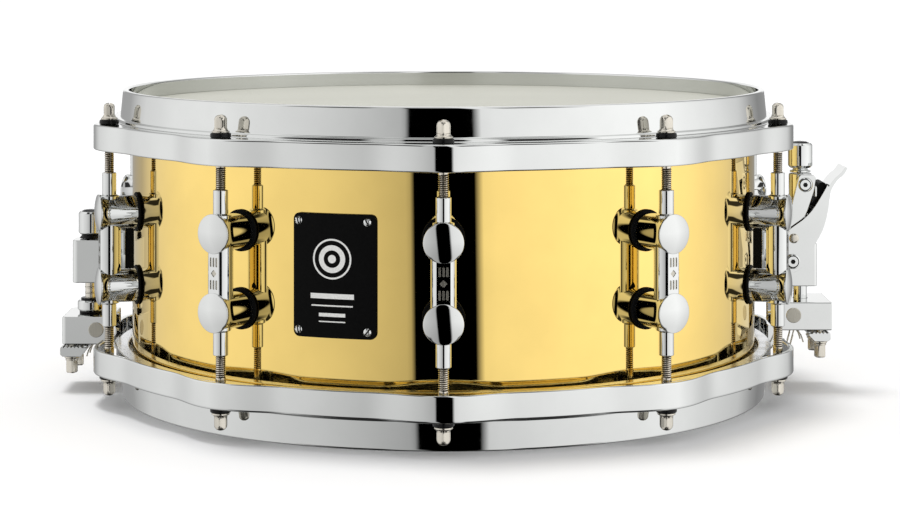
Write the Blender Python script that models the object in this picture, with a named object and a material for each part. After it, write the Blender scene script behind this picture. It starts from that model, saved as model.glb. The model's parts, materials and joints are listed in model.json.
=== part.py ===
"""Snare drum, 14 by 6 inches: brass shell, ten double-post tube lugs, die-cast hoops,
a lever throw-off (strainer) at +X and its butt plate at -X.

The origin is on the drum's axis at mid-depth, +Z points to the batter head, and the
first lug is at -Y. Angles round the drum are measured from -Y towards +X.
"""

import math

import bmesh
import bpy
from mathutils import Matrix

MM = 0.001

# Shell
SHELL_RADIUS = 176.5 * MM
SHELL_HALF_DEPTH = 76.2 * MM
SHELL_INNER_RADIUS = 175.3 * MM
BEARING_EDGE_RADIUS = 175.0 * MM
EDGE_FLANGE_RADIUS = 172.5 * MM
SHELL_SEGMENTS = 60
GAP = 0.3 * MM

# Heads: a film stretched over each bearing edge, bonded into a flesh hoop
FILM_THICKNESS = 0.4 * MM
FILM_COLLAR_RADIUS = 177.4 * MM
FILM_COLLAR_END = 60.0 * MM
FLESH_HOOP_INNER = 178.3 * MM
FLESH_HOOP_OUTER = 185.5 * MM
FLESH_HOOP_LOW = 57.5 * MM
FLESH_HOOP_HIGH = 65.3 * MM

# Die-cast hoops
RIM_TOP = 85.7 * MM
RIM_INNER_RADIUS = 178.5 * MM
RIM_OUTER_RADIUS = 181.7 * MM
RIM_BASE_RADIUS = 183.2 * MM
EAR_TOP = 68.4 * MM
SKIRT_END = 54.5 * MM
SKIRT_WALL = 2.8 * MM
EAR_RADIUS = 200.5 * MM
RECESS_RADIUS = 193.2 * MM
EAR_HALF_ANGLE = 12.0
EAR_STEPS = 4
GATE_HALF_WIDTH = 24.0 * MM
GATE_END = 81.8 * MM

# Lugs and tension rods
LUG_COUNT = 10
ROD_CIRCLE_RADIUS = 192.4 * MM
LUG_POST_HEIGHT = 20.0 * MM
LUG_FACE_RADIUS = 200.2 * MM
LUG_TUBE_RADIUS = 3.85 * MM
LUG_TUBE_END = 42.0 * MM
LUG_BORE_END = 12.0 * MM
LUG_BAR_RADIUS = 6.4 * MM
LUG_BAR_FLAT_EDGE = 33.0
LUG_RING_RADIUS = 10.8 * MM
LUG_RING_FACE = 178.3 * MM
LUG_POST_RADIUS = 9.2 * MM
LUG_FLARE_START = 188.5 * MM
LUG_DISC_RADIUS = 10.1 * MM
LUG_DISC_BACK = 197.6 * MM
LUG_DISC_FRONT = 198.6 * MM
ROD_RADIUS = 2.65 * MM
ROD_HOLE_RADIUS = 3.0 * MM
ROD_END = 16.0 * MM
ROD_WASHER_RADIUS = 5.2 * MM
ROD_HEAD_RADIUS = 3.4 * MM
ROD_COLLAR_TOP = 71.9 * MM
ROD_HEAD_TOP = 80.2 * MM
ROD_HEAD_DOME = 1.0 * MM

# Badge and vent
BADGE_ANGLE = -18.0
BADGE_WIDTH = 44.0 * MM
BADGE_HEIGHT = 62.5 * MM
BADGE_CORNER = 3.0 * MM
BADGE_THICKNESS = 1.2 * MM
VENT_ANGLE = 162.0
VENT_HOLE_RADIUS = 5.6 * MM

# Snare wires
WIRE_COUNT = 20
WIRE_SPACING = 2.1 * MM
WIRE_THICKNESS = 1.3 * MM
WIRE_HALF_LENGTH = 152.0 * MM
PLATE_HALF_LENGTH = 168.0 * MM
WIRE_PLATE_THICKNESS = 1.6 * MM
CORD_RUN_END = 184.5 * MM
CORD_RUN_HALF_WIDTH = 15.0 * MM
CORD_RUN_THICKNESS = 1.0 * MM

# Clearances
SHELL_CLEARANCE = 0.4 * MM
CUT = 1.0 * MM

# Adjuster pieces shared by the strainer and the butt plate
PLATE_FACE = 179.3 * MM
BASE_FRONT = 183.0 * MM
BASE_HALF_WIDTH = 16.0 * MM
PAD_MARGIN = 1.0 * MM
SHAFT_RADIUS = 1.7 * MM
SHAFT_BORE_RADIUS = 2.1 * MM
KNOB_RADIUS = 6.95 * MM
KNOB_NECK_RADIUS = 4.6 * MM
CLAMP_HALF_WIDTH = 19.0 * MM
CLAMP_BACK = 187.0 * MM
JAW_INSET = 1.5 * MM
CLAMP_SCREW_SPACING = 25.0 * MM
CLAMP_SCREW_RADIUS = 1.8 * MM
CLAMP_SCREW_HOLE = 2.2 * MM
CLAMP_SCREW_DEPTH = 8.0 * MM
CLAMP_HEAD_LENGTH = 8.0 * MM
CORD_HALF_WIDTH = 8.0 * MM
CORD_THICKNESS = 0.7 * MM

# Strainer, in its own radius (x) and height (z)
SLIDE_RADIUS = 204.0 * MM
PISTON_RADIUS = 3.9 * MM
PISTON_BORE_RADIUS = 4.3 * MM
HOUSING_HALF_WIDTH = 7.2 * MM
LEVER_PIVOT = (198.0 * MM, -12.8 * MM)
LINK_PIVOT = (205.6 * MM, 30.3 * MM)
LINK_FOOT = (198.7 * MM, 0.2 * MM)
PIVOT_PIN_RADIUS = 1.6 * MM
PIVOT_HOLE_RADIUS = 1.95 * MM
STUB_PIN_END = 5.2 * MM
LINK_INNER_WIDTH = 7.5 * MM
LINK_OUTER_WIDTH = 9.7 * MM
CHEEK_INNER_WIDTH = 10.0 * MM
CHEEK_OUTER_WIDTH = 12.2 * MM

# Butt plate, in its own radius (x) and height (z)
BUTT_AXIS_RADIUS = 201.7 * MM

CHROME = ("chrome", (0.78, 0.79, 0.80), 0.12, 1.0)
BRASS = ("polished_brass", (0.86, 0.66, 0.28), 0.15, 1.0)
BLACK_RUBBER = ("black_rubber", (0.02, 0.02, 0.02), 0.7, 0.0)
COATED_FILM = ("coated_film", (0.86, 0.86, 0.83), 0.6, 0.0)
CLEAR_FILM = ("clear_film", (0.80, 0.82, 0.82), 0.3, 0.0)
ALUMINIUM = ("aluminium", (0.72, 0.73, 0.74), 0.3, 1.0)
BADGE_BLACK = ("badge_black", (0.03, 0.03, 0.03), 0.35, 0.0)
NICKEL = ("nickel_steel", (0.66, 0.64, 0.60), 0.3, 1.0)
CORD_WHITE = ("snare_cord", (0.80, 0.76, 0.66), 0.8, 0.0)


def clear_scene():
    for obj in list(bpy.data.objects):
        bpy.data.objects.remove(obj, do_unlink=True)


def material(recipe):
    """The Principled material of this recipe, made once."""
    name, color, roughness, metallic = recipe
    found = bpy.data.materials.get(name)
    if found:
        return found
    made = bpy.data.materials.new(name)
    made.use_nodes = True
    shader = made.node_tree.nodes["Principled BSDF"]
    shader.inputs["Base Color"].default_value = (*color, 1.0)
    shader.inputs["Roughness"].default_value = roughness
    shader.inputs["Metallic"].default_value = metallic
    return made


def empty(name, location=(0.0, 0.0, 0.0), parent=None):
    """A parent for the pieces of one moving body, placed on its joint's axis."""
    obj = bpy.data.objects.new(name, None)
    bpy.context.scene.collection.objects.link(obj)
    obj.location = location
    obj.parent = parent
    return obj


def place(name, mesh, recipe, parent=None, placement=None):
    """A named object of this mesh, whose placement is in the drum's frame."""
    obj = bpy.data.objects.new(name, mesh)
    bpy.context.scene.collection.objects.link(obj)
    if not mesh.materials:
        mesh.materials.append(material(recipe))
    obj.parent = parent
    bpy.context.view_layer.update()
    obj.matrix_world = placement if placement else Matrix.Identity(4)
    return obj


def mesh_from(bm, name):
    bmesh.ops.recalc_face_normals(bm, faces=bm.faces)
    mesh = bpy.data.meshes.new(name)
    bm.to_mesh(mesh)
    bm.free()
    mesh.shade_smooth()
    mesh.set_sharp_from_angle(angle=math.radians(35))
    return mesh


def sections_joined(sections, name):
    """A closed ring of equal sections, each one a closed loop of points."""
    bm = bmesh.new()
    loops = [[bm.verts.new(point) for point in section] for section in sections]
    for here, there in zip(loops, loops[1:] + loops[:1]):
        size = len(here)
        for k in range(size):
            bm.faces.new((here[k], here[(k + 1) % size], there[(k + 1) % size], there[k]))
    return mesh_from(bm, name)


def turned(profile, segments, name, phase=0.0):
    """The (radius, height) profile turned about Z. One that starts and ends on Z is solid."""
    bm = bmesh.new()
    cosine, sine = math.cos(phase), math.sin(phase)
    points = [bm.verts.new((radius * cosine, radius * sine, z)) for radius, z in profile]
    edges = [bm.edges.new(pair) for pair in zip(points, points[1:])]
    if profile[0][0] > 0:
        edges.append(bm.edges.new((points[-1], points[0])))
    bmesh.ops.spin(
        bm, geom=points + edges, cent=(0, 0, 0), axis=(0, 0, 1), dvec=(0, 0, 0),
        angle=math.tau, steps=segments, use_merge=True,
    )
    bmesh.ops.remove_doubles(bm, verts=bm.verts, dist=1e-6)
    return mesh_from(bm, name)


def prism(outline, low, high, name, along="Y"):
    """An outline of (x, z) points extruded along Y, or of (x, y) points along Z."""
    bm = bmesh.new()
    lift = (lambda a, b: (a, low, b)) if along == "Y" else (lambda a, b: (a, b, low))
    face = bm.faces.new([bm.verts.new(lift(a, b)) for a, b in outline])
    grown = bmesh.ops.extrude_face_region(bm, geom=[face])["geom"]
    moved = [item for item in grown if isinstance(item, bmesh.types.BMVert)]
    step = (0, high - low, 0) if along == "Y" else (0, 0, high - low)
    bmesh.ops.translate(bm, verts=moved, vec=step)
    return mesh_from(bm, name)


def box(low, high, name):
    (x0, y0, z0), (x1, y1, z1) = low, high
    return prism([(x0, z0), (x1, z0), (x1, z1), (x0, z1)], y0, y1, name)


def cylinder_z(x, y, radius, low, high, segments=12):
    """A capped cylinder along Z at (x, y), with a flat of its polygon facing +x."""
    profile = [(0, low), (radius, low), (radius, high), (0, high)]
    mesh = turned(profile, segments, "cylinder", math.pi / segments)
    mesh.transform(Matrix.Translation((x, y, 0)))
    return mesh


def cylinder_y(x, z, radius, low, high, segments=12):
    """A capped cylinder along Y at (x, z)."""
    mesh = turned([(0, low), (radius, low), (radius, high), (0, high)], segments, "cylinder")
    mesh.transform(Matrix.Translation((x, 0, z)) @ Matrix.Rotation(math.radians(-90), 4, "X"))
    return mesh


def arc(centre, radius, start, end, steps):
    """Points of an arc, its angles in degrees from +x towards +z."""
    angles = [math.radians(start + (end - start) * k / steps) for k in range(steps + 1)]
    return [(centre[0] + radius * math.cos(a), centre[1] + radius * math.sin(a)) for a in angles]


def fused(name, solids, cutters=()):
    """One closed mesh: the union of the solids, less the cutters."""
    scene = bpy.context.scene
    helpers = [bpy.data.objects.new("helper", mesh) for mesh in (*solids, *cutters)]
    for helper in helpers:
        scene.collection.objects.link(helper)
        helper.hide_render = True
        helper.display_type = "WIRE"
    base = helpers[0]
    for index, helper in enumerate(helpers[1:], 1):
        boolean = base.modifiers.new("boolean", "BOOLEAN")
        boolean.operation = "UNION" if index < len(solids) else "DIFFERENCE"
        boolean.object = helper
    graph = bpy.context.evaluated_depsgraph_get()
    mesh = bpy.data.meshes.new_from_object(base.evaluated_get(graph))
    mesh.name = name
    for helper in helpers:
        bpy.data.objects.remove(helper, do_unlink=True)
    return mesh


def around(degrees):
    """The turn about Z that carries +X to this angle round the drum."""
    return Matrix.Rotation(math.radians(degrees - 90), 4, "Z")


def outward(mesh):
    """Turns a piece made along Z so that it points along +X."""
    mesh.transform(Matrix.Rotation(math.radians(90), 4, "Y"))
    return mesh


# Shell, heads and hoops


def make_shell():
    half, shoulder, flange_top, flange_foot = SHELL_HALF_DEPTH, 1.6 * MM, 1.2 * MM, 3.4 * MM
    upper = [
        (SHELL_RADIUS, half - shoulder),
        (BEARING_EDGE_RADIUS, half),
        (EDGE_FLANGE_RADIUS, half - flange_top),
        (SHELL_INNER_RADIUS, half - flange_foot),
    ]
    lower = [(radius, -z) for radius, z in reversed(upper)]
    tube = turned(upper + lower, SHELL_SEGMENTS, "tube", math.pi / SHELL_SEGMENTS)
    hole = outward(cylinder_z(0, 0, VENT_HOLE_RADIUS, EDGE_FLANGE_RADIUS, SHELL_RADIUS + CUT, 14))
    hole.transform(around(VENT_ANGLE))
    place("shell", fused("shell", [tube], [hole]), BRASS)


def make_vent_grommet():
    bore, neck, inner_flange, outer_flange = 4.2 * MM, 5.2 * MM, 7.5 * MM, 8.0 * MM
    flange, inside, outside = 1.2 * MM, SHELL_INNER_RADIUS - 0.6 * MM, SHELL_RADIUS + 0.1 * MM
    profile = [
        (bore, inside - flange), (inner_flange, inside - flange), (inner_flange, inside),
        (neck, inside), (neck, outside), (outer_flange, outside),
        (outer_flange, outside + flange), (bore, outside + flange),
    ]
    ring = turned(profile, 14, "vent_grommet")
    place("vent_grommet", outward(ring), CHROME, placement=around(VENT_ANGLE))


def make_head(name, side, recipe, parent):
    """A film over the bearing edge, with its collar down the outside of the shell."""
    under = SHELL_HALF_DEPTH + GAP
    top = under + FILM_THICKNESS
    inner, outer = FILM_COLLAR_RADIUS, FILM_COLLAR_RADIUS + FILM_THICKNESS
    fold_across, fold_down = 1.8 * MM, 2.3 * MM
    profile = [
        (0, under),
        (inner - fold_across, under),
        (inner, under - fold_down),
        (inner, FILM_COLLAR_END),
        (outer, FILM_COLLAR_END),
        (outer, top - fold_down),
        (outer - fold_across, top),
        (0, top),
    ]
    phase = math.pi / SHELL_SEGMENTS
    film = turned([(r, side * z) for r, z in profile], SHELL_SEGMENTS, name, phase)
    place(name, film, recipe, parent)


def make_flesh_hoop(name, side, parent):
    profile = [
        (FLESH_HOOP_INNER, FLESH_HOOP_LOW), (FLESH_HOOP_OUTER, FLESH_HOOP_LOW),
        (FLESH_HOOP_OUTER, FLESH_HOOP_HIGH), (FLESH_HOOP_INNER, FLESH_HOOP_HIGH),
    ]
    ring = turned([(r, side * z) for r, z in profile], SHELL_SEGMENTS, name)
    place(name, ring, ALUMINIUM, parent)


def hoop_edge(offset):
    """Outer radius of the hoop's skirt, this many degrees from the middle of an ear."""
    away = min(abs(offset) / EAR_HALF_ANGLE, 1.0)
    quick = away * away * (3 - 2 * away)
    gentle = away**3 * (away * (6 * away - 15) + 10)
    smooth = quick * (1 - away) + gentle * away
    return EAR_RADIUS + (RECESS_RADIUS - EAR_RADIUS) * smooth


def hoop_section(edge):
    roof = EAR_TOP - SKIRT_WALL
    return [
        (RIM_INNER_RADIUS, RIM_TOP), (RIM_OUTER_RADIUS, RIM_TOP), (RIM_BASE_RADIUS, EAR_TOP),
        (edge, EAR_TOP), (edge, SKIRT_END), (edge - SKIRT_WALL, SKIRT_END),
        (edge - SKIRT_WALL, roof), (RIM_INNER_RADIUS, roof),
    ]


def make_hoop(name, side, parent, gates=()):
    """A cast ring with a hollow skirt and one ear for each rod. Gates open it for the cords."""
    pitch = 360.0 / LUG_COUNT
    steps = [EAR_HALF_ANGLE * k / EAR_STEPS for k in range(-EAR_STEPS, EAR_STEPS + 1)]
    sections = []
    for lug in range(LUG_COUNT):
        for offset in (*steps, pitch / 2):
            turn = around(lug * pitch + offset)
            section = hoop_section(hoop_edge(offset))
            sections.append([turn @ Matrix.Translation((r, 0, side * z)).to_translation()
                             for r, z in section])
    ring = sections_joined(sections, name)
    low, high = sorted((side * (EAR_TOP - SKIRT_WALL - CUT), side * (EAR_TOP + CUT)))
    cutters = []
    for lug in range(LUG_COUNT):
        hole = cylinder_z(ROD_CIRCLE_RADIUS, 0, ROD_HOLE_RADIUS, low, high)
        hole.transform(around(lug * pitch))
        cutters.append(hole)
    near, far = sorted((side * (SKIRT_END - CUT), side * GATE_END))
    for gate in gates:
        inside, outside = sorted((gate * BEARING_EDGE_RADIUS, gate * (EAR_RADIUS + CUT)))
        cutters.append(
            box((inside, -GATE_HALF_WIDTH, near), (outside, GATE_HALF_WIDTH, far), "gate")
        )
    place(name, fused(name, [ring], cutters), CHROME, parent)


# Lugs and rods


def lug_mesh():
    """Two posts out from the shell, a tube through both for the rods, and a bar between.

    Each post stands on a rubber ring and flares to a domed disc. The bar is round, with a flat
    at the front."""
    foot, flare = SHELL_RADIUS + SHELL_CLEARANCE, LUG_DISC_RADIUS - LUG_POST_RADIUS
    halfway = (LUG_FLARE_START + LUG_DISC_BACK) / 2
    profile = [
        (0, foot), (LUG_RING_RADIUS, foot), (LUG_RING_RADIUS, LUG_RING_FACE),
        (LUG_POST_RADIUS, LUG_RING_FACE), (LUG_POST_RADIUS, LUG_FLARE_START),
        (LUG_POST_RADIUS + flare / 4, halfway), (LUG_DISC_RADIUS, LUG_DISC_BACK),
        (LUG_DISC_RADIUS, LUG_DISC_FRONT), (0, LUG_FACE_RADIUS),
    ]
    solids = []
    for height in (LUG_POST_HEIGHT, -LUG_POST_HEIGHT):
        post = outward(turned(profile, 14, "post"))
        post.transform(Matrix.Translation((0, 0, height)))
        solids.append(post)
    radius = ROD_CIRCLE_RADIUS
    solids.append(cylinder_z(radius, 0, LUG_TUBE_RADIUS, -LUG_TUBE_END, LUG_TUBE_END, 10))
    rounding = arc((radius, 0), LUG_BAR_RADIUS, LUG_BAR_FLAT_EDGE, 360 - LUG_BAR_FLAT_EDGE, 10)
    solids.append(prism(rounding, -LUG_POST_HEIGHT, LUG_POST_HEIGHT, "bar", "Z"))
    beyond = LUG_TUBE_END + CUT
    bores = [
        cylinder_z(radius, 0, ROD_HOLE_RADIUS, LUG_BORE_END, beyond, 10),
        cylinder_z(radius, 0, ROD_HOLE_RADIUS, -beyond, -LUG_BORE_END, 10),
    ]
    return fused("lug", solids, bores)


def rod_mesh(name, side):
    """Threaded rod with its washer, collar and round head. It points up for side 1."""
    under = EAR_TOP + GAP
    profile = [
        (0, ROD_END), (ROD_RADIUS, ROD_END), (ROD_RADIUS, under), (ROD_WASHER_RADIUS, under),
        (ROD_WASHER_RADIUS, ROD_COLLAR_TOP), (ROD_HEAD_RADIUS, ROD_COLLAR_TOP),
        (ROD_HEAD_RADIUS, ROD_HEAD_TOP - ROD_HEAD_DOME), (0, ROD_HEAD_TOP),
    ]
    return turned([(r, side * z) for r, z in profile], 10, name)


def make_lugs_and_rods(batter, snare):
    lug = lug_mesh()
    for index in range(LUG_COUNT):
        turn = around(index * 360.0 / LUG_COUNT)
        place(f"lug_{index + 1:02d}", lug, CHROME, placement=turn)
        spot = turn @ Matrix.Translation((ROD_CIRCLE_RADIUS, 0, 0))
        for head, side, parent in (("batter", 1, batter), ("snare", -1, snare)):
            name = f"{head}_rod_{index + 1:02d}"
            place(name, rod_mesh(name, side), NICKEL, parent, spot)


# Badge


def make_badge():
    """A plate bent to the shell, made of upright strips, with rounded corners."""
    inner = SHELL_RADIUS + SHELL_CLEARANCE
    half_width, half_height = BADGE_WIDTH / 2, BADGE_HEIGHT / 2
    corner = [
        (half_width - BADGE_CORNER * (1 - math.sin(math.radians(a))),
         half_height - BADGE_CORNER * (1 - math.cos(math.radians(a))))
        for a in (0, 30, 60, 90)
    ]
    flat = half_width - BADGE_CORNER
    columns = [(-x, z) for x, z in reversed(corner)]
    columns += [(-flat + 2 * flat * k / 8, half_height) for k in range(1, 8)]
    columns += corner
    bm = bmesh.new()
    rows = []
    for across, height in columns:
        angle = across / SHELL_RADIUS
        rows.append([
            bm.verts.new((radius * math.cos(angle), radius * math.sin(angle), z))
            for radius, z in ((inner, -height), (inner + BADGE_THICKNESS, -height),
                              (inner + BADGE_THICKNESS, height), (inner, height))
        ])
    for here, there in zip(rows, rows[1:]):
        for k in range(4):
            bm.faces.new((here[k], here[(k + 1) % 4], there[(k + 1) % 4], there[k]))
    bm.faces.new(rows[0])
    bm.faces.new(rows[-1])
    place("badge_plate", mesh_from(bm, "badge_plate"), BADGE_BLACK, placement=around(BADGE_ANGLE))


# Snare wires


def make_snare_wires(parent):
    """Strands between two end plates, and the runs of cord that pass under the hoop."""
    top = -(SHELL_HALF_DEPTH + GAP + FILM_THICKNESS + GAP)
    half_plate, overlap = WIRE_COUNT * WIRE_SPACING / 2, 4 * MM
    solids = []
    for side in (-1, 1):
        low, high = sorted((side * (WIRE_HALF_LENGTH - overlap), side * PLATE_HALF_LENGTH))
        solids.append(
            box((low, -half_plate, top - WIRE_PLATE_THICKNESS), (high, half_plate, top), "plate")
        )
        low, high = sorted((side * (PLATE_HALF_LENGTH - overlap), side * CORD_RUN_END))
        run_top = top - 0.2 * MM
        solids.append(
            box((low, -CORD_RUN_HALF_WIDTH, run_top - CORD_RUN_THICKNESS),
                (high, CORD_RUN_HALF_WIDTH, run_top), "cord_run")
        )
    strand_top, half = top - 0.1 * MM, WIRE_THICKNESS / 2
    for strand in range(WIRE_COUNT):
        y = (strand - (WIRE_COUNT - 1) / 2) * WIRE_SPACING
        solids.append(
            box((-WIRE_HALF_LENGTH, y - half, strand_top - WIRE_THICKNESS),
                (WIRE_HALF_LENGTH, y + half, strand_top), "strand")
        )
    place("snare_wires", fused("snare_wires", solids), NICKEL, parent)


# Pieces shared by the strainer and the butt plate. Each is made at +X and turned to its side.


def gasket_mesh(low, high):
    """A pad whose back follows the shell and whose front is flat."""
    half = BASE_HALF_WIDTH + PAD_MARGIN
    radius = SHELL_RADIUS + SHELL_CLEARANCE
    steps = [half * (k / 4 - 1) for k in range(9)]
    outline = [(math.sqrt(radius * radius - y * y), y) for y in steps]
    outline += [(PLATE_FACE, half), (PLATE_FACE, -half)]
    return prism(outline, low, high, "gasket", "Z")


def clamp_screw_mesh(x, y, block_bottom, jaw_bottom):
    """A square-headed screw, here round, that pulls the jaw up against the block."""
    flange_radius, head_radius, flange_height = 4.0 * MM, 3.05 * MM, 1.4 * MM
    tip, flange = block_bottom + CLAMP_SCREW_DEPTH, jaw_bottom - GAP
    head = flange - flange_height
    profile = [
        (0, tip), (CLAMP_SCREW_RADIUS, tip), (CLAMP_SCREW_RADIUS, flange),
        (flange_radius, flange), (flange_radius, head), (head_radius, head),
        (head_radius, head - CLAMP_HEAD_LENGTH), (0, head - CLAMP_HEAD_LENGTH),
    ]
    mesh = turned(profile, 12, "clamp_screw")
    mesh.transform(Matrix.Translation((x, y, 0)))
    return mesh


def make_clamp(prefix, placement, parent, extra_solids, extra_cutters, front, jaw, z):
    """Block, jaw and two screws that grip the snare cord between block and jaw."""
    block_top, block_bottom, jaw_top, jaw_bottom = z
    jaw_back, jaw_front, screw_x = jaw
    spread = CLAMP_SCREW_SPACING / 2
    block = box(
        (CLAMP_BACK, -CLAMP_HALF_WIDTH, block_bottom), (front, CLAMP_HALF_WIDTH, block_top), "block"
    )
    jaw_half = CLAMP_HALF_WIDTH - JAW_INSET
    jaw_block = box((jaw_back, -jaw_half, jaw_bottom), (jaw_front, jaw_half, jaw_top), "jaw")
    threads = [
        cylinder_z(screw_x, y, CLAMP_SCREW_HOLE, block_bottom - CUT,
                   block_bottom + CLAMP_SCREW_DEPTH + CUT)
        for y in (-spread, spread)
    ]
    holes = [
        cylinder_z(screw_x, y, CLAMP_SCREW_HOLE, jaw_bottom - CUT, jaw_top + CUT)
        for y in (-spread, spread)
    ]
    block_mesh = fused(f"{prefix}_clamp_block", [block, *extra_solids], [*extra_cutters, *threads])
    place(f"{prefix}_clamp_block", block_mesh, CHROME, parent, placement)
    jaw_mesh = fused(f"{prefix}_clamp_jaw", [jaw_block], holes)
    place(f"{prefix}_clamp_jaw", jaw_mesh, CHROME, parent, placement)
    for label, y in (("front", -spread), ("back", spread)):
        screw = clamp_screw_mesh(screw_x, y, block_bottom, jaw_bottom)
        place(f"{prefix}_clamp_screw_{label}", screw, NICKEL, parent, placement)


def cord_mesh(front, bend, end, top):
    """The gripped end of the cord and its drop towards the hoop's gate."""
    under, thick, bow = top - CORD_THICKNESS, 0.9 * MM, 1.2 * MM
    end_x, end_z = end
    middle = (top + end_z) / 2
    outline = [
        (front, top), (bend, top), (end_x + bow, middle), (end_x, end_z),
        (end_x + thick, end_z), (end_x + bow + thick, middle),
        (bend + thick / 2, under), (front, under),
    ]
    return prism(outline, -CORD_HALF_WIDTH, CORD_HALF_WIDTH, "cord")


# Strainer


def make_strainer_housing(placement):
    base_low, base_high, bottom, top = -29.0 * MM, 7.0 * MM, -27.7 * MM, -3.3 * MM
    front, half = 212.8 * MM, HOUSING_HALF_WIDTH
    base = box(
        (PLATE_FACE + GAP, -BASE_HALF_WIDTH, base_low), (BASE_FRONT, BASE_HALF_WIDTH, base_high), "base"
    )
    tower = box((BASE_FRONT - CUT, -half, bottom), (front, half, top), "tower")
    cutters = [
        cylinder_z(SLIDE_RADIUS, 0, PISTON_BORE_RADIUS, bottom - CUT, top + CUT, 16),
        cylinder_y(*LEVER_PIVOT, PIVOT_HOLE_RADIUS, -half - CUT, half + CUT),
    ]
    housing = fused("strainer_housing", [base, tower], cutters)
    place("strainer_housing", housing, CHROME, placement=placement)
    pad = gasket_mesh(base_low - PAD_MARGIN, base_high + PAD_MARGIN)
    place("strainer_gasket", pad, BLACK_RUBBER, placement=placement)


def make_pivot_pin(placement):
    head, shoulder, end = 4.2 * MM, CHEEK_OUTER_WIDTH + GAP, CHEEK_OUTER_WIDTH + 2.4 * MM
    profile = [
        (0, -end), (head, -end), (head, -shoulder), (PIVOT_PIN_RADIUS, -shoulder),
        (PIVOT_PIN_RADIUS, shoulder), (head, shoulder), (head, end), (0, end),
    ]
    pin = turned(profile, 14, "strainer_pivot_pin")
    x, z = LEVER_PIVOT
    pin.transform(Matrix.Translation((x, 0, z)) @ Matrix.Rotation(math.radians(90), 4, "X"))
    place("strainer_pivot_pin", pin, NICKEL, placement=placement)


def make_carriage(placement, parent):
    """The crosshead with its tubular piston, which slides in the housing."""
    head_low, head_high, piston_end = 18.0 * MM, 36.4 * MM, -35.8 * MM
    back, front, half = 198.7 * MM, 209.7 * MM, HOUSING_HALF_WIDTH
    socket = STUB_PIN_END - 0.3 * MM
    head = box((back, -half, head_low), (front, half, head_high), "crosshead")
    piston = cylinder_z(SLIDE_RADIUS, 0, PISTON_RADIUS, piston_end, head_low + CUT, 14)
    cutters = [
        cylinder_z(SLIDE_RADIUS, 0, SHAFT_BORE_RADIUS, piston_end - CUT, head_high + CUT),
        cylinder_y(*LINK_PIVOT, PIVOT_HOLE_RADIUS, socket, half + CUT),
        cylinder_y(*LINK_PIVOT, PIVOT_HOLE_RADIUS, -half - CUT, -socket),
    ]
    carriage = fused("strainer_carriage", [head, piston], cutters)
    place("strainer_carriage", carriage, CHROME, parent, placement)


def make_link(placement, parent):
    """Two side plates joined by a web, with stub pins into the crosshead."""
    top_radius, foot_radius, lean = 7.4 * MM, 3.6 * MM, 14
    web_back, web_front, web_low, web_high = 210.2 * MM, 212.4 * MM, 18.0 * MM, 29.0 * MM
    outline = arc(LINK_PIVOT, top_radius, -lean, 180 - lean, 8)
    outline += arc(LINK_FOOT, foot_radius, 180 - lean, 360 - lean, 6)
    solids = [
        prism(outline, LINK_INNER_WIDTH, LINK_OUTER_WIDTH, "plate"),
        box((web_back, -LINK_OUTER_WIDTH, web_low), (web_front, LINK_OUTER_WIDTH, web_high), "web"),
        prism(outline, -LINK_OUTER_WIDTH, -LINK_INNER_WIDTH, "plate"),
    ]
    root = LINK_INNER_WIDTH + 0.5 * MM
    for low, high in ((STUB_PIN_END, root), (-root, -STUB_PIN_END)):
        solids.append(cylinder_y(*LINK_PIVOT, PIVOT_PIN_RADIUS, low, high))
    place("strainer_link", fused("strainer_link", solids), CHROME, parent, placement)


def make_lever(placement, parent):
    """Two cheeks on the lower pivot, joined by a front web that ends in the finger lip."""
    heel_radius = 6.2 * MM
    cheek = arc(LEVER_PIVOT, heel_radius, 150, 350, 8)
    cheek += [(x * MM, z * MM) for x, z in (
        (211.6, -1.6), (215.4, 5.5), (217.7, 13.7), (218.8, 22.0), (218.2, 31.4),
        (214.6, 24.6), (209.4, 16.4), (204.3, 11.0), (199.7, 7.6), (196.0, 4.6), (195.2, 0.2),
    )]
    web = [(x * MM, z * MM) for x, z in (
        (216.4, 9.0), (217.7, 13.7), (218.8, 22.0), (219.8, 28.6), (223.6, 34.4), (229.5, 39.4),
        (228.3, 41.6), (221.8, 36.6), (217.4, 31.0), (216.3, 22.0), (215.4, 14.4), (214.1, 9.8),
    )]
    solids = [
        prism(cheek, CHEEK_INNER_WIDTH, CHEEK_OUTER_WIDTH, "cheek"),
        prism(web, -CHEEK_OUTER_WIDTH, CHEEK_OUTER_WIDTH, "web"),
        prism(cheek, -CHEEK_OUTER_WIDTH, -CHEEK_INNER_WIDTH, "cheek"),
    ]
    reach = CHEEK_OUTER_WIDTH + CUT
    hole = cylinder_y(*LEVER_PIVOT, PIVOT_HOLE_RADIUS, -reach, reach)
    place("strainer_lever", fused("strainer_lever", solids, [hole]), CHROME, parent, placement)


def knob_mesh(axis_x, shaft_end, neck, low, high, name):
    """A knurled knob, here plain, on the shaft that moves the clamp block."""
    crown = 0.6 * MM
    profile = [
        (0, shaft_end), (SHAFT_RADIUS, shaft_end), (SHAFT_RADIUS, neck), (KNOB_NECK_RADIUS, neck),
        (KNOB_NECK_RADIUS, low), (KNOB_RADIUS, low), (KNOB_RADIUS, high - crown), (0, high),
    ]
    knob = turned(profile, 16, name)
    knob.transform(Matrix.Translation((axis_x, 0, 0)))
    return knob


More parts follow.
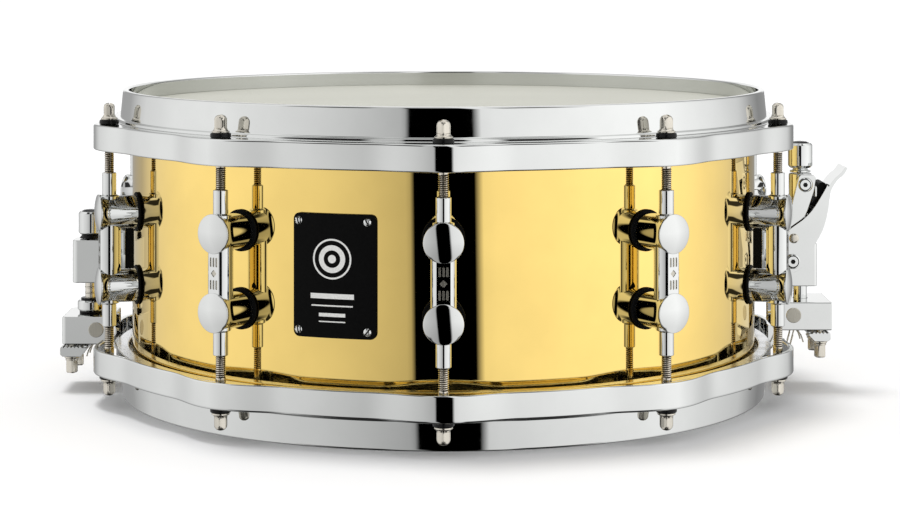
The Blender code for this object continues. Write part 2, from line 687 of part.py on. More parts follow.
def make_strainer():
    placement = around(90)
    lever_x, lever_z = LEVER_PIVOT
    link_x, link_z = LINK_PIVOT
    lever_axis = empty("throwoff_lever_axis", (lever_x, 0, lever_z))
    carriage_axis = empty("carriage_axis", (SLIDE_RADIUS, 0, 0))
    link_axis = empty("link_axis", (link_x - SLIDE_RADIUS, 0, link_z), carriage_axis)
    knob_axis = empty("strainer_knob_axis", parent=carriage_axis)
    clamp_axis = empty("strainer_clamp_axis", parent=carriage_axis)

    make_strainer_housing(placement)
    make_pivot_pin(placement)
    make_carriage(placement, carriage_axis)
    make_link(placement, link_axis)
    make_lever(placement, lever_axis)
    shaft_end, neck, knob_low, knob_high = -47.0 * MM, 36.7 * MM, 39.9 * MM, 55.0 * MM
    knob = knob_mesh(SLIDE_RADIUS, shaft_end, neck, knob_low, knob_high, "strainer_knob")
    place("strainer_knob", knob, CHROME, knob_axis, placement)
    block_top, block_bottom, jaw_top, jaw_bottom = -35.1 * MM, -51.0 * MM, -52.3 * MM, -57.3 * MM
    block_front, jaw_back, jaw_front, screw_x = 219.4 * MM, 206.7 * MM, 219.9 * MM, 213.3 * MM
    counterbore = 4.4 * MM
    bores = [
        cylinder_z(SLIDE_RADIUS, 0, PISTON_BORE_RADIUS, block_top - counterbore, block_top + CUT, 14),
        cylinder_z(SLIDE_RADIUS, 0, SHAFT_BORE_RADIUS, block_bottom - CUT, block_top),
    ]
    make_clamp(
        "strainer", placement, clamp_axis, [], bores, block_front,
        (jaw_back, jaw_front, screw_x), (block_top, block_bottom, jaw_top, jaw_bottom),
    )
    cord_front, cord_bend, cord_end = 218.0 * MM, 199.6 * MM, (195.2 * MM, -66.0 * MM)
    cord = cord_mesh(cord_front, cord_bend, cord_end, block_bottom - GAP)
    place("strainer_cord", cord, CORD_WHITE, clamp_axis, placement)


# Butt plate


def make_butt_housing(placement):
    base_low, base_high, bottom, top = -27.0 * MM, 7.0 * MM, -25.6 * MM, -1.3 * MM
    front, half, bore_radius = 211.2 * MM, 9.0 * MM, 4.0 * MM
    base = box(
        (PLATE_FACE + GAP, -BASE_HALF_WIDTH, base_low), (BASE_FRONT, BASE_HALF_WIDTH, base_high), "base"
    )
    tower = box((BASE_FRONT - CUT, -half, bottom), (front, half, top), "tower")
    bore = cylinder_z(BUTT_AXIS_RADIUS, 0, bore_radius, bottom - CUT, top + CUT, 14)
    housing = fused("butt_housing", [base, tower], [bore])
    place("butt_housing", housing, CHROME, placement=placement)
    pad = gasket_mesh(base_low - PAD_MARGIN, base_high + PAD_MARGIN)
    place("butt_gasket", pad, BLACK_RUBBER, placement=placement)


def make_butt():
    placement = around(-90)
    knob_axis = empty("butt_knob_axis", (-BUTT_AXIS_RADIUS, 0, 0))
    clamp_axis = empty("butt_clamp_axis", (-BUTT_AXIS_RADIUS, 0, 0))
    make_butt_housing(placement)
    shaft_end, neck, knob_low, knob_high = -54.5 * MM, -1.0 * MM, 1.1 * MM, 16.0 * MM
    knob = knob_mesh(BUTT_AXIS_RADIUS, shaft_end, neck, knob_low, knob_high, "butt_knob")
    place("butt_knob", knob, CHROME, knob_axis, placement)
    block_top, block_bottom, jaw_top, jaw_bottom = -43.3 * MM, -59.0 * MM, -60.3 * MM, -66.0 * MM
    block_front, jaw_back, jaw_front, screw_x = 215.5 * MM, 202.0 * MM, 216.6 * MM, 210.6 * MM
    stem_radius, stem_top = 3.4 * MM, -5.0 * MM
    collar_radius, collar_low, collar_high = 7.5 * MM, -42.1 * MM, -36.1 * MM
    stem = cylinder_z(BUTT_AXIS_RADIUS, 0, stem_radius, block_top - CUT, stem_top, 14)
    collar = cylinder_z(BUTT_AXIS_RADIUS, 0, collar_radius, collar_low, collar_high, 16)
    bore = cylinder_z(BUTT_AXIS_RADIUS, 0, SHAFT_BORE_RADIUS, block_bottom - CUT, stem_top + CUT)
    make_clamp(
        "butt", placement, clamp_axis, [stem, collar], [bore], block_front,
        (jaw_back, jaw_front, screw_x), (block_top, block_bottom, jaw_top, jaw_bottom),
    )
    cord_front, cord_bend, cord_end = 215.0 * MM, 198.0 * MM, (193.8 * MM, -72.0 * MM)
    cord = cord_mesh(cord_front, cord_bend, cord_end, block_bottom - GAP)
    place("butt_cord", cord, CORD_WHITE, clamp_axis, placement)


def main():
    clear_scene()
    batter = empty("batter_tension_axis")
    snare = empty("snare_tension_axis")
    wires = empty("snare_wires_axis", (-PLATE_HALF_LENGTH, 0, -78 * MM), parent=snare)
    make_shell()
    make_vent_grommet()
    make_head("batter_head", 1, COATED_FILM, batter)
    make_flesh_hoop("batter_flesh_hoop", 1, batter)
    make_hoop("batter_hoop", 1, batter)
    make_head("snare_head", -1, CLEAR_FILM, snare)
    make_flesh_hoop("snare_flesh_hoop", -1, snare)
    make_hoop("snare_hoop", -1, snare, gates=(-1, 1))
    make_lugs_and_rods(batter, snare)
    make_badge()
    make_snare_wires(wires)
    make_strainer()
    make_butt()


main()
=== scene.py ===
"""The looks of the snare drum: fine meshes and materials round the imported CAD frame.

Z is the drum's axis, +Z the batter head, +X the strainer and -X the butt plate. A piece of
a lug station is made at +X, as (radius, across, height), and turned to its place.
"""

import json
import math

import bmesh
import bpy
from mathutils import Matrix, Vector


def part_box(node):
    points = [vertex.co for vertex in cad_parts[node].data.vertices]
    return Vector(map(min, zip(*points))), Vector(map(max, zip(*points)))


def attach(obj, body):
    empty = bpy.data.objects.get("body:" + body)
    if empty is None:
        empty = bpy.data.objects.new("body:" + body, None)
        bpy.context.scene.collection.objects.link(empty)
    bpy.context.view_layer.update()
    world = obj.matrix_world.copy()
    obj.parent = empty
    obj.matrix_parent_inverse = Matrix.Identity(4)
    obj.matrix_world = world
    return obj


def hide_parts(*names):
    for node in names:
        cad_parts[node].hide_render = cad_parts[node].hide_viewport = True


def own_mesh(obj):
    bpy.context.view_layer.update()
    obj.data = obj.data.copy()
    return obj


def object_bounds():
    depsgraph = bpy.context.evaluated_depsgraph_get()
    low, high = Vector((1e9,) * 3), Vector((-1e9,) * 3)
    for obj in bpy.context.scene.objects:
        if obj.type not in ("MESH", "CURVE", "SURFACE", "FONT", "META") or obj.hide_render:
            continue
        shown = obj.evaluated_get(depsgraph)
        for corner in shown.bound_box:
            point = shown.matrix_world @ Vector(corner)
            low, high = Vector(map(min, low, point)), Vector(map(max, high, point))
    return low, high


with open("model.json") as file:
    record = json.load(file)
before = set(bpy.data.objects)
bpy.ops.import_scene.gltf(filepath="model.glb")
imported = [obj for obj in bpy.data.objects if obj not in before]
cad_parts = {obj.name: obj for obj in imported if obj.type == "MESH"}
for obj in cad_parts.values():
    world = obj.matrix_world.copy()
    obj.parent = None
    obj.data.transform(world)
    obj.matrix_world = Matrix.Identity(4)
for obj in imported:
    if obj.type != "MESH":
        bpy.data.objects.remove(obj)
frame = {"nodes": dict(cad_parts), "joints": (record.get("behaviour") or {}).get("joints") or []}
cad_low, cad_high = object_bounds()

MM = 0.001
SHARP_ANGLE = math.radians(32)
JOINTS = {joint["name"]: joint for joint in frame["joints"]}


def radii(node):
    """Least and greatest distance of a CAD node's points from the drum's axis, in mm."""
    found = [math.hypot(v.co.x, v.co.y) / MM for v in frame["nodes"][node].data.vertices]
    return min(found), max(found)


def span(node, axis):
    """Lowest and highest x, y or z of a CAD node, in mm."""
    low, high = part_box(node)
    index = "xyz".index(axis)
    return low[index] / MM, high[index] / MM


# Driving sizes, in mm, read from the frame
SHELL_RADIUS = radii("shell")[1]
SHELL_HALF = span("shell", "z")[1]
FILM_TOP = span("batter_head", "z")[1]
FILM_END = span("batter_head", "z")[0]
FILM_RADIUS = radii("batter_head")[1]
FLESH_INNER, FLESH_OUTER = radii("batter_flesh_hoop")
FLESH_LOW, FLESH_HIGH = span("batter_flesh_hoop", "z")
RIM_INNER, EAR_RADIUS = radii("batter_hoop")
SKIRT_END, RIM_TOP = span("batter_hoop", "z")
LUG_FOOT, LUG_FACE = radii("lug_01")
TUBE_END = span("lug_01", "z")[1]
ROD_X, ROD_Y, _ = (value / MM for value in JOINTS["batter_rod_01_turn"]["pos_m"])
ROD_CIRCLE = math.hypot(ROD_X, ROD_Y)
ROD_END, ROD_TOP = span("batter_rod_01", "z")
LUG_COUNT = sum(name.startswith("lug_") for name in frame["nodes"])
PIVOT_X, _, PIVOT_Z = (value / MM for value in JOINTS["throwoff"]["pos_m"])
LINK_X, _, LINK_Z = (value / MM for value in JOINTS["link_swing"]["pos_m"])
LINK_FOOT_X, LINK_FOOT_Z = LINK_X - 6.9, LINK_Z - 30.1
SLIDE_X = JOINTS["strainer_knob_turn"]["pos_m"][0] / MM
BUTT_X = -JOINTS["butt_knob_turn"]["pos_m"][0] / MM

# Hoop section
EAR_TOP = 68.4
EAR_HALF_ANGLE = 12.0
RECESS_RADIUS = 193.2
RIM_WALL = 3.2
RIM_BASE_RADIUS = 183.2
SKIRT_WALL = 2.8
HOOP_STEPS = 480
GATE_INNER, GATE_OUTER = 170.0, 206.0
GATE_HALF_WIDTH = 24.0
GATE_LOW = -81.8
GATE_ABOVE_SKIRT = 6.0

# Lug station
POST_HEIGHT = 20.0
RING_HEIGHT = 1.0
RING_RADIUS = 10.8
DOME_RADIUS = 32.0
TUBE_RADIUS = 3.85
BORE_RADIUS = 3.0
ROD_RADIUS = 2.65
THREAD_PITCH = 25.4 / 24
THREAD_CORE = 2.2
THREAD_DEPTH = 0.5
THREAD_START, THREAD_END = 35.0, 53.0
HEAD_DOME = 3.0

# Badge and vent
BADGE_ANGLE = -18.0
BADGE_CENTRE = (-1.0, 8.5)
BADGE_PRINT = 0.06
PRINT_DEPTH = -0.2
BADGE_RINGS = ((10.2, 9.3), (7.0, 4.4), (2.1, 0.01))
BADGE_RULES = ((-10.2, 23.0, 2.6), (-15.0, 22.0, 0.7), (-19.6, 14.0, 1.8), (-23.0, 14.0, 0.6))
BADGE_SCREWS = ((-19.3, 27.4, 15), (17.4, 27.4, 30), (-19.3, -27.6, 10), (17.4, -27.6, -40))
VENT_ANGLE = 162.0

# Snare wires and cords
STRANDS, STRAND_SPACING, STRAND_HALF_LENGTH = 20, 2.1, 150.0
COIL_RADIUS, COIL_PITCH, COIL_STEPS, WIRE_RADIUS = 0.62, 2.0, 7, 0.2
PLATE_INNER, PLATE_OUTER, PLATE_HALF_WIDTH = 148.0, 168.0, 21.0
SOLDER_X, CORD_HOLE_X = 151.5, 163.5
CORD_PLACES = (-6.0, 6.0)
CORD_RADIUS = 0.4

# Strainer and butt plate
PISTON_BORE = 4.3
SHAFT_BORE = 2.1
PIVOT_BORE = 1.95
KNOB_RADIUS = 6.95
BASE_THICKNESS = 3.4
BASE_SCREW_INSET = 4.5
GASKET_CORNER = 4.0
CROSS_PIN_RADIUS = 4.3
SOCKET_RADIUS = 1.45
LEVER_INNER, LEVER_OUTER = 10.0, 12.2
LINK_INNER, LINK_OUTER = 7.5, 9.7


# Outlines


def rounded(corners, steps=4, closed=True):
    """An outline in which each corner (a, b, radius) with a radius becomes an arc."""
    points, count = [], len(corners)
    for index, (a, b, *radius) in enumerate(corners):
        here = Vector((a, b))
        end = not closed and index in (0, count - 1)
        if end or not radius or radius[0] <= 0:
            points.append((a, b))
            continue
        before = Vector(corners[index - 1][:2]) - here
        after = Vector(corners[(index + 1) % count][:2]) - here
        half = before.angle(after) / 2
        if abs(half - math.pi / 2) < 0.01:
            points.append((a, b))
            continue
        reach = min(radius[0] / math.tan(half), 0.49 * before.length, 0.49 * after.length)
        size = reach * math.tan(half)
        centre = here + (before.normalized() + after.normalized()).normalized() * size / math.sin(half)
        start = here + before.normalized() * reach - centre
        finish = here + after.normalized() * reach - centre
        first = math.atan2(start.y, start.x)
        turn = math.atan2(finish.y, finish.x) - first
        turn = (turn + math.pi) % math.tau - math.pi
        for k in range(steps + 1):
            angle = first + turn * k / steps
            points.append((centre.x + size * math.cos(angle), centre.y + size * math.sin(angle)))
    return points


def arc(centre, radius, start, end, steps):
    """Points of an arc, its angles in degrees from the first axis towards the second."""
    angles = [math.radians(start + (end - start) * k / steps) for k in range(steps + 1)]
    return [(centre[0] + radius * math.cos(a), centre[1] + radius * math.sin(a)) for a in angles]


def smooth_line(points, steps=6):
    """A Catmull-Rom line through the points."""
    ends = [points[0], *points, points[-1]]
    line = []
    for a, b, c, d in zip(ends, ends[1:], ends[2:], ends[3:]):
        for k in range(steps):
            t = k / steps
            line.append(tuple(
                0.5 * (2 * q + (r - p) * t + (2 * p - 5 * q + 4 * r - s) * t * t
                       + (3 * q - p - 3 * r + s) * t**3)
                for p, q, r, s in zip(a, b, c, d)
            ))
    return [*line, tuple(points[-1])]


def around(degrees):
    """The turn about Z that carries +X to this angle round the drum, from -Y towards +X."""
    return Matrix.Rotation(math.radians(degrees - 90), 4, "Z")


def shift(x=0.0, y=0.0, z=0.0):
    return Matrix.Translation((x, y, z))


OUTWARD = Matrix.Rotation(math.radians(90), 4, "Y")
ALONG_Y = Matrix.Rotation(math.radians(-90), 4, "X")
UPSIDE_DOWN = Matrix.Rotation(math.radians(180), 4, "X")
UPRIGHT = Matrix.Identity(4)


# Meshes, all made in mm


def solid(bm):
    """A smooth-shaded mesh with its faces turned out."""
    bmesh.ops.remove_doubles(bm, verts=bm.verts, dist=1e-5)
    bmesh.ops.recalc_face_normals(bm, faces=bm.faces)
    mesh = bpy.data.meshes.new("piece")
    bm.to_mesh(mesh)
    bm.free()
    mesh.shade_smooth()
    mesh.set_sharp_from_angle(angle=SHARP_ANGLE)
    return mesh


def loft(sections, ring=False):
    """A skin over closed sections of equal size; a section of one point is a pole."""
    bm = bmesh.new()
    loops = [[bm.verts.new(point) for point in section] for section in sections]
    pairs = list(zip(loops, loops[1:]))
    if ring:
        pairs.append((loops[-1], loops[0]))
    for here, there in pairs:
        size = max(len(here), len(there))
        for k in range(size):
            after = (k + 1) % size
            corners = [here[k % len(here)], here[after % len(here)],
                       there[after % len(there)], there[k % len(there)]]
            bm.faces.new(list(dict.fromkeys(corners)))
    if not ring:
        for loop in (loops[0], loops[-1]):
            if len(loop) > 2:
                bm.faces.new(loop)
    return solid(bm)


def circle(radius, z, segments):
    if radius < 1e-6:
        return [(0, 0, z)]
    turns = [math.tau * k / segments for k in range(segments)]
    return [(radius * math.cos(t), radius * math.sin(t), z) for t in turns]


def shaped_circle(radius_at, z, segments):
    """A closed section whose radius depends on its angle."""
    points = []
    for k in range(segments):
        turn = math.tau * k / segments
        radius = radius_at(turn)
        points.append((radius * math.cos(turn), radius * math.sin(turn), z))
    return points


def lathe(profile, segments=64, ring=False):
    """The (radius, z) profile turned about Z: a solid between poles, or a closed ring."""
    return loft([circle(radius, z, segments) for radius, z in profile], ring)


def prism(outline, low, high, along="Y"):
    """An outline of (x, z) points extruded along Y, of (x, y) along Z, or of (y, z) along X."""
    place = {
        "X": lambda a, b, c: (c, a, b),
        "Y": lambda a, b, c: (a, c, b),
        "Z": lambda a, b, c: (a, b, c),
    }[along]
    return loft([[place(a, b, level) for a, b in outline] for level in (low, high)])


def tube(path, radius, sides=8):
    """A round cord along a path."""
    points = [Vector(point) for point in path]
    sections, up = [], None
    for index, here in enumerate(points):
        ahead = points[min(index + 1, len(points) - 1)] - points[max(index - 1, 0)]
        ahead.normalize()
        if up is None:
            up = ahead.orthogonal()
        up = (up - ahead * up.dot(ahead)).normalized()
        side = ahead.cross(up)
        turns = [math.tau * k / sides for k in range(sides)]
        sections.append([here + radius * (up * math.cos(t) + side * math.sin(t)) for t in turns])
    return loft(sections)


def moved(mesh, *matrices):
    """A copy of the mesh with the matrices applied, the last one first."""
    total = Matrix.Identity(4)
    for matrix in matrices:
        total = total @ matrix
    copy = mesh.copy()
    copy.transform(total)
    return copy


def both_ways(mesh, x, z):
    """The mesh laid along Y at (x, z), facing each way."""
    return [moved(mesh, shift(x, 0, z), ALONG_Y, flip) for flip in (UPRIGHT, UPSIDE_DOWN)]


def crosswise(radius, low, high, x, z, edge=0.0):
    """A pin along Y at (x, z)."""
    return moved(pin(radius, low, high, edge=edge), shift(x, 0, z), ALONG_Y)


def upright_bore(radius, low, high, x):
    """A cutter along Z that passes 2 mm beyond each end."""
    return moved(pin(radius, low - 2, high + 2, edge=0), shift(x))


def joined(meshes):
    """Meshes that don't touch, as one."""
    bm = bmesh.new()
    for mesh in meshes:
        bm.from_mesh(mesh)
    mesh = bpy.data.meshes.new("piece")
    bm.to_mesh(mesh)
    bm.free()
    return mesh


def baked(mesh, settings):
    """The mesh after the modifiers whose (type, attributes) are given."""
    helper = bpy.data.objects.new("helper", mesh)
    bpy.context.scene.collection.objects.link(helper)
    for kind, attributes in settings:
        modifier = helper.modifiers.new(kind.lower(), kind)
        for name, value in attributes.items():
            setattr(modifier, name, value)
    graph = bpy.context.evaluated_depsgraph_get()
    made = bpy.data.meshes.new_from_object(helper.evaluated_get(graph))
    bpy.data.objects.remove(helper, do_unlink=True)
    return made


def fused(solids, cutters=()):
    """The union of the solids, less the cutters."""
    helpers = [bpy.data.objects.new("helper", mesh) for mesh in (*solids[1:], *cutters)]
    for helper in helpers:
        bpy.context.scene.collection.objects.link(helper)
    steps = [
        ("BOOLEAN", {"operation": "UNION" if index < len(solids) - 1 else "DIFFERENCE",
                     "object": helper})
        for index, helper in enumerate(helpers)
    ]
    mesh = baked(solids[0], steps)
    for helper in helpers:
        bpy.data.objects.remove(helper, do_unlink=True)
    mesh.shade_smooth()
    mesh.set_sharp_from_angle(angle=SHARP_ANGLE)
    return mesh


def softened(mesh, width, segments=3):
    """The mesh with its sharp edges bevelled."""
    made = baked(mesh, [("BEVEL", {
        "width": width, "segments": segments, "limit_method": "ANGLE",
        "angle_limit": SHARP_ANGLE, "use_clamp_overlap": True,
    })])
    made.shade_smooth()
    made.set_sharp_from_angle(angle=SHARP_ANGLE)
    return made


def block(low, high, corner=0.0, edge=0.3, along="Y"):
    """A box whose four edges along one axis have a big radius, and all others a small one."""
    ranges = {"X": (1, 2, 0), "Y": (0, 2, 1), "Z": (0, 1, 2)}[along]
    first, second, depth = ranges
    outline = rounded([
        (low[first], low[second], corner), (high[first], low[second], corner),
        (high[first], high[second], corner), (low[first], high[second], corner),
    ], steps=6)
    return softened(prism(outline, low[depth], high[depth], along), edge)


def pin(radius, low, high, edge=0.3, segments=48):
    """A disc or pin along Z with rounded rims."""
    return lathe(rounded([(0, low), (radius, low, edge), (radius, high, edge), (0, high)],
                         closed=False), segments)


def with_finishes(mesh, *finishes):
    """The mesh with these materials added. Its faces keep the material numbers they have."""
    for finish in finishes:
        mesh.materials.append(finish)
    return mesh


def two_finishes(mesh, main_finish, other_finish, chosen):
    """Gives the other finish to the faces whose centres are chosen."""
    mesh.materials.clear()
    with_finishes(mesh, main_finish, other_finish)
    for face in mesh.polygons:
        face.material_index = int(chosen(face.center))


def hexagon(radius, low, high):
    return loft([circle(radius, low, 6), circle(radius, high, 6)])


def slot_cutter(width, depth, top, length=20.0):
    return prism([(-width / 2, top - depth), (width / 2, top - depth),
                  (width / 2, top + 2), (-width / 2, top + 2)], -length / 2, length / 2)


# Materials


class Nodes:
    """A short way to write a material's node tree."""

    def __init__(self, name):
        self.material = bpy.data.materials.new(name)
        self.material.use_nodes = True
        self.tree = self.material.node_tree
        self.shader = self.tree.nodes["Principled BSDF"]
        self.place = self.add("ShaderNodeTexCoord").outputs["Object"]

    def add(self, kind, inputs=None, **settings):
        node = self.tree.nodes.new(kind)
        for name, value in settings.items():
            setattr(node, name, value)
        for name, value in (inputs or {}).items():
            self.feed(node.inputs[name], value)
        return node

    def feed(self, socket, value):
        if isinstance(value, bpy.types.NodeSocket):
            self.tree.links.new(value, socket)
        else:
            socket.default_value = value

    def noise(self, scale, detail=3.0, roughness=0.5, vector=None):
        node = self.add("ShaderNodeTexNoise", {
            "Vector": vector or self.place, "Scale": scale, "Detail": detail,
            "Roughness": roughness,
        })
        return node.outputs["Fac"]

    def stretched(self, factors):
        return self.add("ShaderNodeMapping", {"Vector": self.place, "Scale": factors}).outputs[0]

    def between(self, value, low, high, start=0.3, end=0.7):
        node = self.add("ShaderNodeMapRange", {
            "Value": value, "From Min": start, "From Max": end, "To Min": low, "To Max": high,
        })
        return node.outputs["Result"]

    def colors(self, value, stops):
        node = self.add("ShaderNodeValToRGB", {"Fac": value})
        ramp = node.color_ramp.elements
        while len(ramp) < len(stops):
            ramp.new(1.0)
        for element, (place, color) in zip(ramp, stops):
            element.position = place
            element.color = (*color, 1.0)
        return node.outputs["Color"]

    def bump(self, height, distance, strength=1.0):
        node = self.add("ShaderNodeBump", {
            "Height": height, "Distance": distance * MM, "Strength": strength,
        })
        self.feed(self.shader.inputs["Normal"], node.outputs["Normal"])

    def set(self, **values):
        for name, value in values.items():
            self.feed(self.shader.inputs[name.replace("_", " ")], value)
        return self.material


def metal(name, color, smooth, rough, tint=0.04, grain=900.0, bump=0.0006):
    """Plated or polished metal: faint clouding of colour and polish, and fine grain."""
    nodes = Nodes(name)
    cloud = nodes.noise(38.0, 4.0)
    darker = tuple(c * (1 - tint) for c in color)
    nodes.bump(nodes.noise(grain, 2.0), bump)
    return nodes.set(
        Base_Color=nodes.colors(cloud, [(0.35, darker), (0.65, color)]),
        Roughness=nodes.between(nodes.noise(210.0, 5.0), smooth, rough),
        Metallic=1.0,
    )


def threaded_steel():
    """Steel with painted shade in its thread: near black in the roots between the crests, pale on the
    crests.
    """
    nodes = Nodes("threaded_steel")
    flat = nodes.add("ShaderNodeVectorMath", {0: nodes.place, 1: (1.0, 1.0, 0.0)}, operation="MULTIPLY")
    length = nodes.add("ShaderNodeVectorMath", {0: flat.outputs[0]}, operation="LENGTH")
    crest = nodes.between(length.outputs["Value"], 0.0, 1.0,
                          (THREAD_CORE + 0.12) * MM, (THREAD_CORE + THREAD_DEPTH - 0.08) * MM)
    return nodes.set(
        Base_Color=nodes.colors(crest, [(0.0, (0.03, 0.024, 0.018)), (0.7, (0.80, 0.74, 0.64))]),
        Roughness=nodes.between(nodes.noise(400.0), 0.18, 0.3), Metallic=1.0,
    )


def brushed(name, color, rough, stretch):
    """Metal with a ground finish whose lines run across the stretched axis."""
    nodes = Nodes(name)
    lines = nodes.noise(1.0, 4.0, vector=nodes.stretched(stretch))
    darker = tuple(c * 0.86 for c in color)
    nodes.bump(lines, 0.006)
    return nodes.set(
        Base_Color=nodes.colors(lines, [(0.3, darker), (0.7, color)]),
        Roughness=nodes.between(lines, rough - 0.08, rough + 0.08),
        Metallic=1.0,
    )


def rubber(name):
    nodes = Nodes(name)
    grain = nodes.noise(1800.0, 6.0)
    nodes.bump(grain, 0.02)
    return nodes.set(
        Base_Color=nodes.colors(grain, [(0.3, (0.002, 0.002, 0.002)), (0.7, (0.006, 0.006, 0.006))]),
        Roughness=nodes.between(grain, 0.45, 0.65), Specular_IOR_Level=0.05,
    )


def hard_plastic(name):
    nodes = Nodes(name)
    cloud = nodes.noise(160.0, 3.0)
    nodes.bump(nodes.noise(2500.0), 0.004)
    return nodes.set(
        Base_Color=nodes.colors(cloud, [(0.3, (0.002, 0.002, 0.002)), (0.7, (0.005, 0.005, 0.005))]),
        Roughness=nodes.between(cloud, 0.22, 0.34), Specular_IOR_Level=0.2,
    )


def coated_film():
    """A head sprayed with a rough white coating: fine speckle over soft clouds."""
    nodes = Nodes("coated_film")
    cloud, speckle = nodes.noise(16.0, 3.0), nodes.noise(2600.0, 2.0, 0.7)
    mixed = nodes.add("ShaderNodeMath", {0: cloud, 1: speckle}, operation="ADD").outputs[0]
    nodes.bump(speckle, 0.03)
    return nodes.set(
        Base_Color=nodes.colors(nodes.between(mixed, 0, 1, 0.7, 1.3),
                                [(0.0, (0.445, 0.445, 0.38)), (1.0, (0.485, 0.485, 0.415))]),
        Roughness=nodes.between(speckle, 0.35, 0.6),
    )


def clear_film():
    """Thin film, hazy and half seen through."""
    nodes = Nodes("clear_film")
    cloud = nodes.noise(22.0, 4.0)
    nodes.bump(nodes.noise(500.0), 0.003)
    return nodes.set(
        Base_Color=(0.86, 0.88, 0.88, 1), Roughness=nodes.between(cloud, 0.12, 0.2),
        Alpha=nodes.between(cloud, 0.24, 0.34), Specular_IOR_Level=0.8,
    )


def enamel():
    nodes = Nodes("badge_enamel")
    orange_peel = nodes.noise(700.0, 2.0)
    nodes.bump(orange_peel, 0.004)
    return nodes.set(
        Base_Color=nodes.colors(orange_peel, [(0.3, (0.001, 0.001, 0.001)), (0.7, (0.002, 0.002, 0.002))]),
        Roughness=nodes.between(nodes.noise(90.0), 0.28, 0.38), Specular_IOR_Level=0.06,
    )


def print_white():
    nodes = Nodes("badge_print")
    grain = nodes.noise(1500.0, 3.0)
    return nodes.set(
        Base_Color=nodes.colors(grain, [(0.3, (0.66, 0.66, 0.64)), (0.7, (0.78, 0.78, 0.76))]),
        Roughness=nodes.between(grain, 0.35, 0.5),
    )


def twisted_cord():
    """Strands that wind round the cord, with a little fuzz."""
    nodes = Nodes("twisted_cord")
    turned = nodes.add("ShaderNodeMapping", {"Vector": nodes.place, "Rotation": (0.5, 0.6, 0.7)})
    strands = nodes.add("ShaderNodeTexWave", {
        "Vector": turned.outputs[0], "Scale": 420.0, "Distortion": 1.5,
    }).outputs["Fac"]
    nodes.bump(strands, 0.12)
    return nodes.set(
        Base_Color=nodes.colors(strands, [(0.1, (0.52, 0.47, 0.36)), (0.8, (0.80, 0.76, 0.66))]),
        Roughness=nodes.between(nodes.noise(900.0), 0.7, 0.9),
    )


CHROME = metal("chrome", (0.715, 0.725, 0.715), 0.015, 0.045)
BRASS = metal("polished_brass", (0.95, 0.695, 0.225), 0.01, 0.025, tint=0.05, grain=500.0, bump=0.0003)
NICKEL = metal("nickel", (0.70, 0.66, 0.58), 0.14, 0.26, tint=0.12)
THREAD = threaded_steel()
WIRE = metal("snare_wire_steel", (0.72, 0.71, 0.68), 0.16, 0.28, tint=0.1)
SATIN = brushed("satin_nickel", (0.60, 0.575, 0.50), 0.34, (3000.0, 3000.0, 60.0))
ALUMINIUM = brushed("rolled_aluminium", (0.80, 0.81, 0.82), 0.24, (60.0, 60.0, 4000.0))
RUBBER = rubber("black_rubber")
# Black plastic for knob caps and washers, and also painted shade in the sockets, grooves and slots of
# screws.
BLACK_PLASTIC_AND_PAINTED_SHADE = hard_plastic("black_plastic_and_painted_shade")
COATED = coated_film()
CLEAR = clear_film()
ENAMEL = enamel()
PRINT = print_white()
CORD = twisted_cord()
FINISHES = {
    "chrome": CHROME, "brass": BRASS, "nickel": NICKEL, "aluminium": ALUMINIUM,
    "rubber": RUBBER, "coated_film": COATED, "clear_film": CLEAR, "badge": ENAMEL, "cord": CORD,
}


def add(name, mesh, body, slot, finish=None, replaces=(), at=None):
    """Adds a piece from a mesh in mm. It rides on the body and hides the CAD nodes it replaces."""
    obj = bpy.data.objects.new(name, mesh)
    bpy.context.scene.collection.objects.link(obj)
    if not mesh.get("in_metres"):
        mesh.transform(Matrix.Scale(MM, 4))
        mesh["in_metres"] = True
    if not mesh.materials:
        mesh.materials.append(finish or FINISHES[slot])
    if at is not None:
        place = at.copy()
        place.translation *= MM
        obj.matrix_world = place
    weighted = obj.modifiers.new("weighted normals", "WEIGHTED_NORMAL")
    weighted.keep_sharp = True
    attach(obj, body)
    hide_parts(*replaces)
    return obj


# Shell, heads and hoops


def add_shell():
    half = SHELL_HALF
    upper = [
        (SHELL_RADIUS, half - 2.0, 0.8), (SHELL_RADIUS - 1.5, half, 0.5),
        (SHELL_RADIUS - 4.0, half - 1.2, 0.4), (SHELL_RADIUS - 1.2, half - 3.6, 1.0),
    ]
    lower = [(radius, -z, corner) for radius, z, corner in reversed(upper)]
    tube_mesh = lathe(rounded(upper + lower), 360, ring=True)
    hole = moved(pin(5.6, SHELL_RADIUS - 6, SHELL_RADIUS + 6), around(VENT_ANGLE), OUTWARD)
    add("brass_shell", fused([tube_mesh], [hole]), "drum_shell", "brass", replaces=["shell"])


def add_vent_grommet():
    face = SHELL_RADIUS + 0.1
    profile = rounded([
        (4.2, face - 3.1, 0.5), (7.5, face - 3.1, 0.5), (7.5, face - 1.9, 0.3),
        (5.3, face - 1.9, 0.2), (5.3, face, 0.2), (8.0, face, 0.1), (7.6, face + 1.1, 0.8),
        (4.2, face + 1.2, 0.9),
    ])
    ring = lathe([(r, z) for r, z in profile], 48, ring=True)
    add("vent_eyelet", moved(ring, OUTWARD), "drum_shell", "chrome",
        replaces=["vent_grommet"], at=around(VENT_ANGLE))


def add_head(name, side, body, slot, node):
    """A film with a soft shoulder over the bearing edge, and its collar beside the shell."""
    thick = 0.3
    profile = rounded([
        (0, FILM_TOP), (FILM_RADIUS, FILM_TOP, 2.2), (FILM_RADIUS, FILM_END),
        (FILM_RADIUS - thick, FILM_END), (FILM_RADIUS - thick, FILM_TOP - thick, 1.9),
        (0, FILM_TOP - thick),
    ], steps=6, closed=False)
    film = lathe([(r, side * z) for r, z in profile], 240)
    add(name, film, body, slot, replaces=[node])


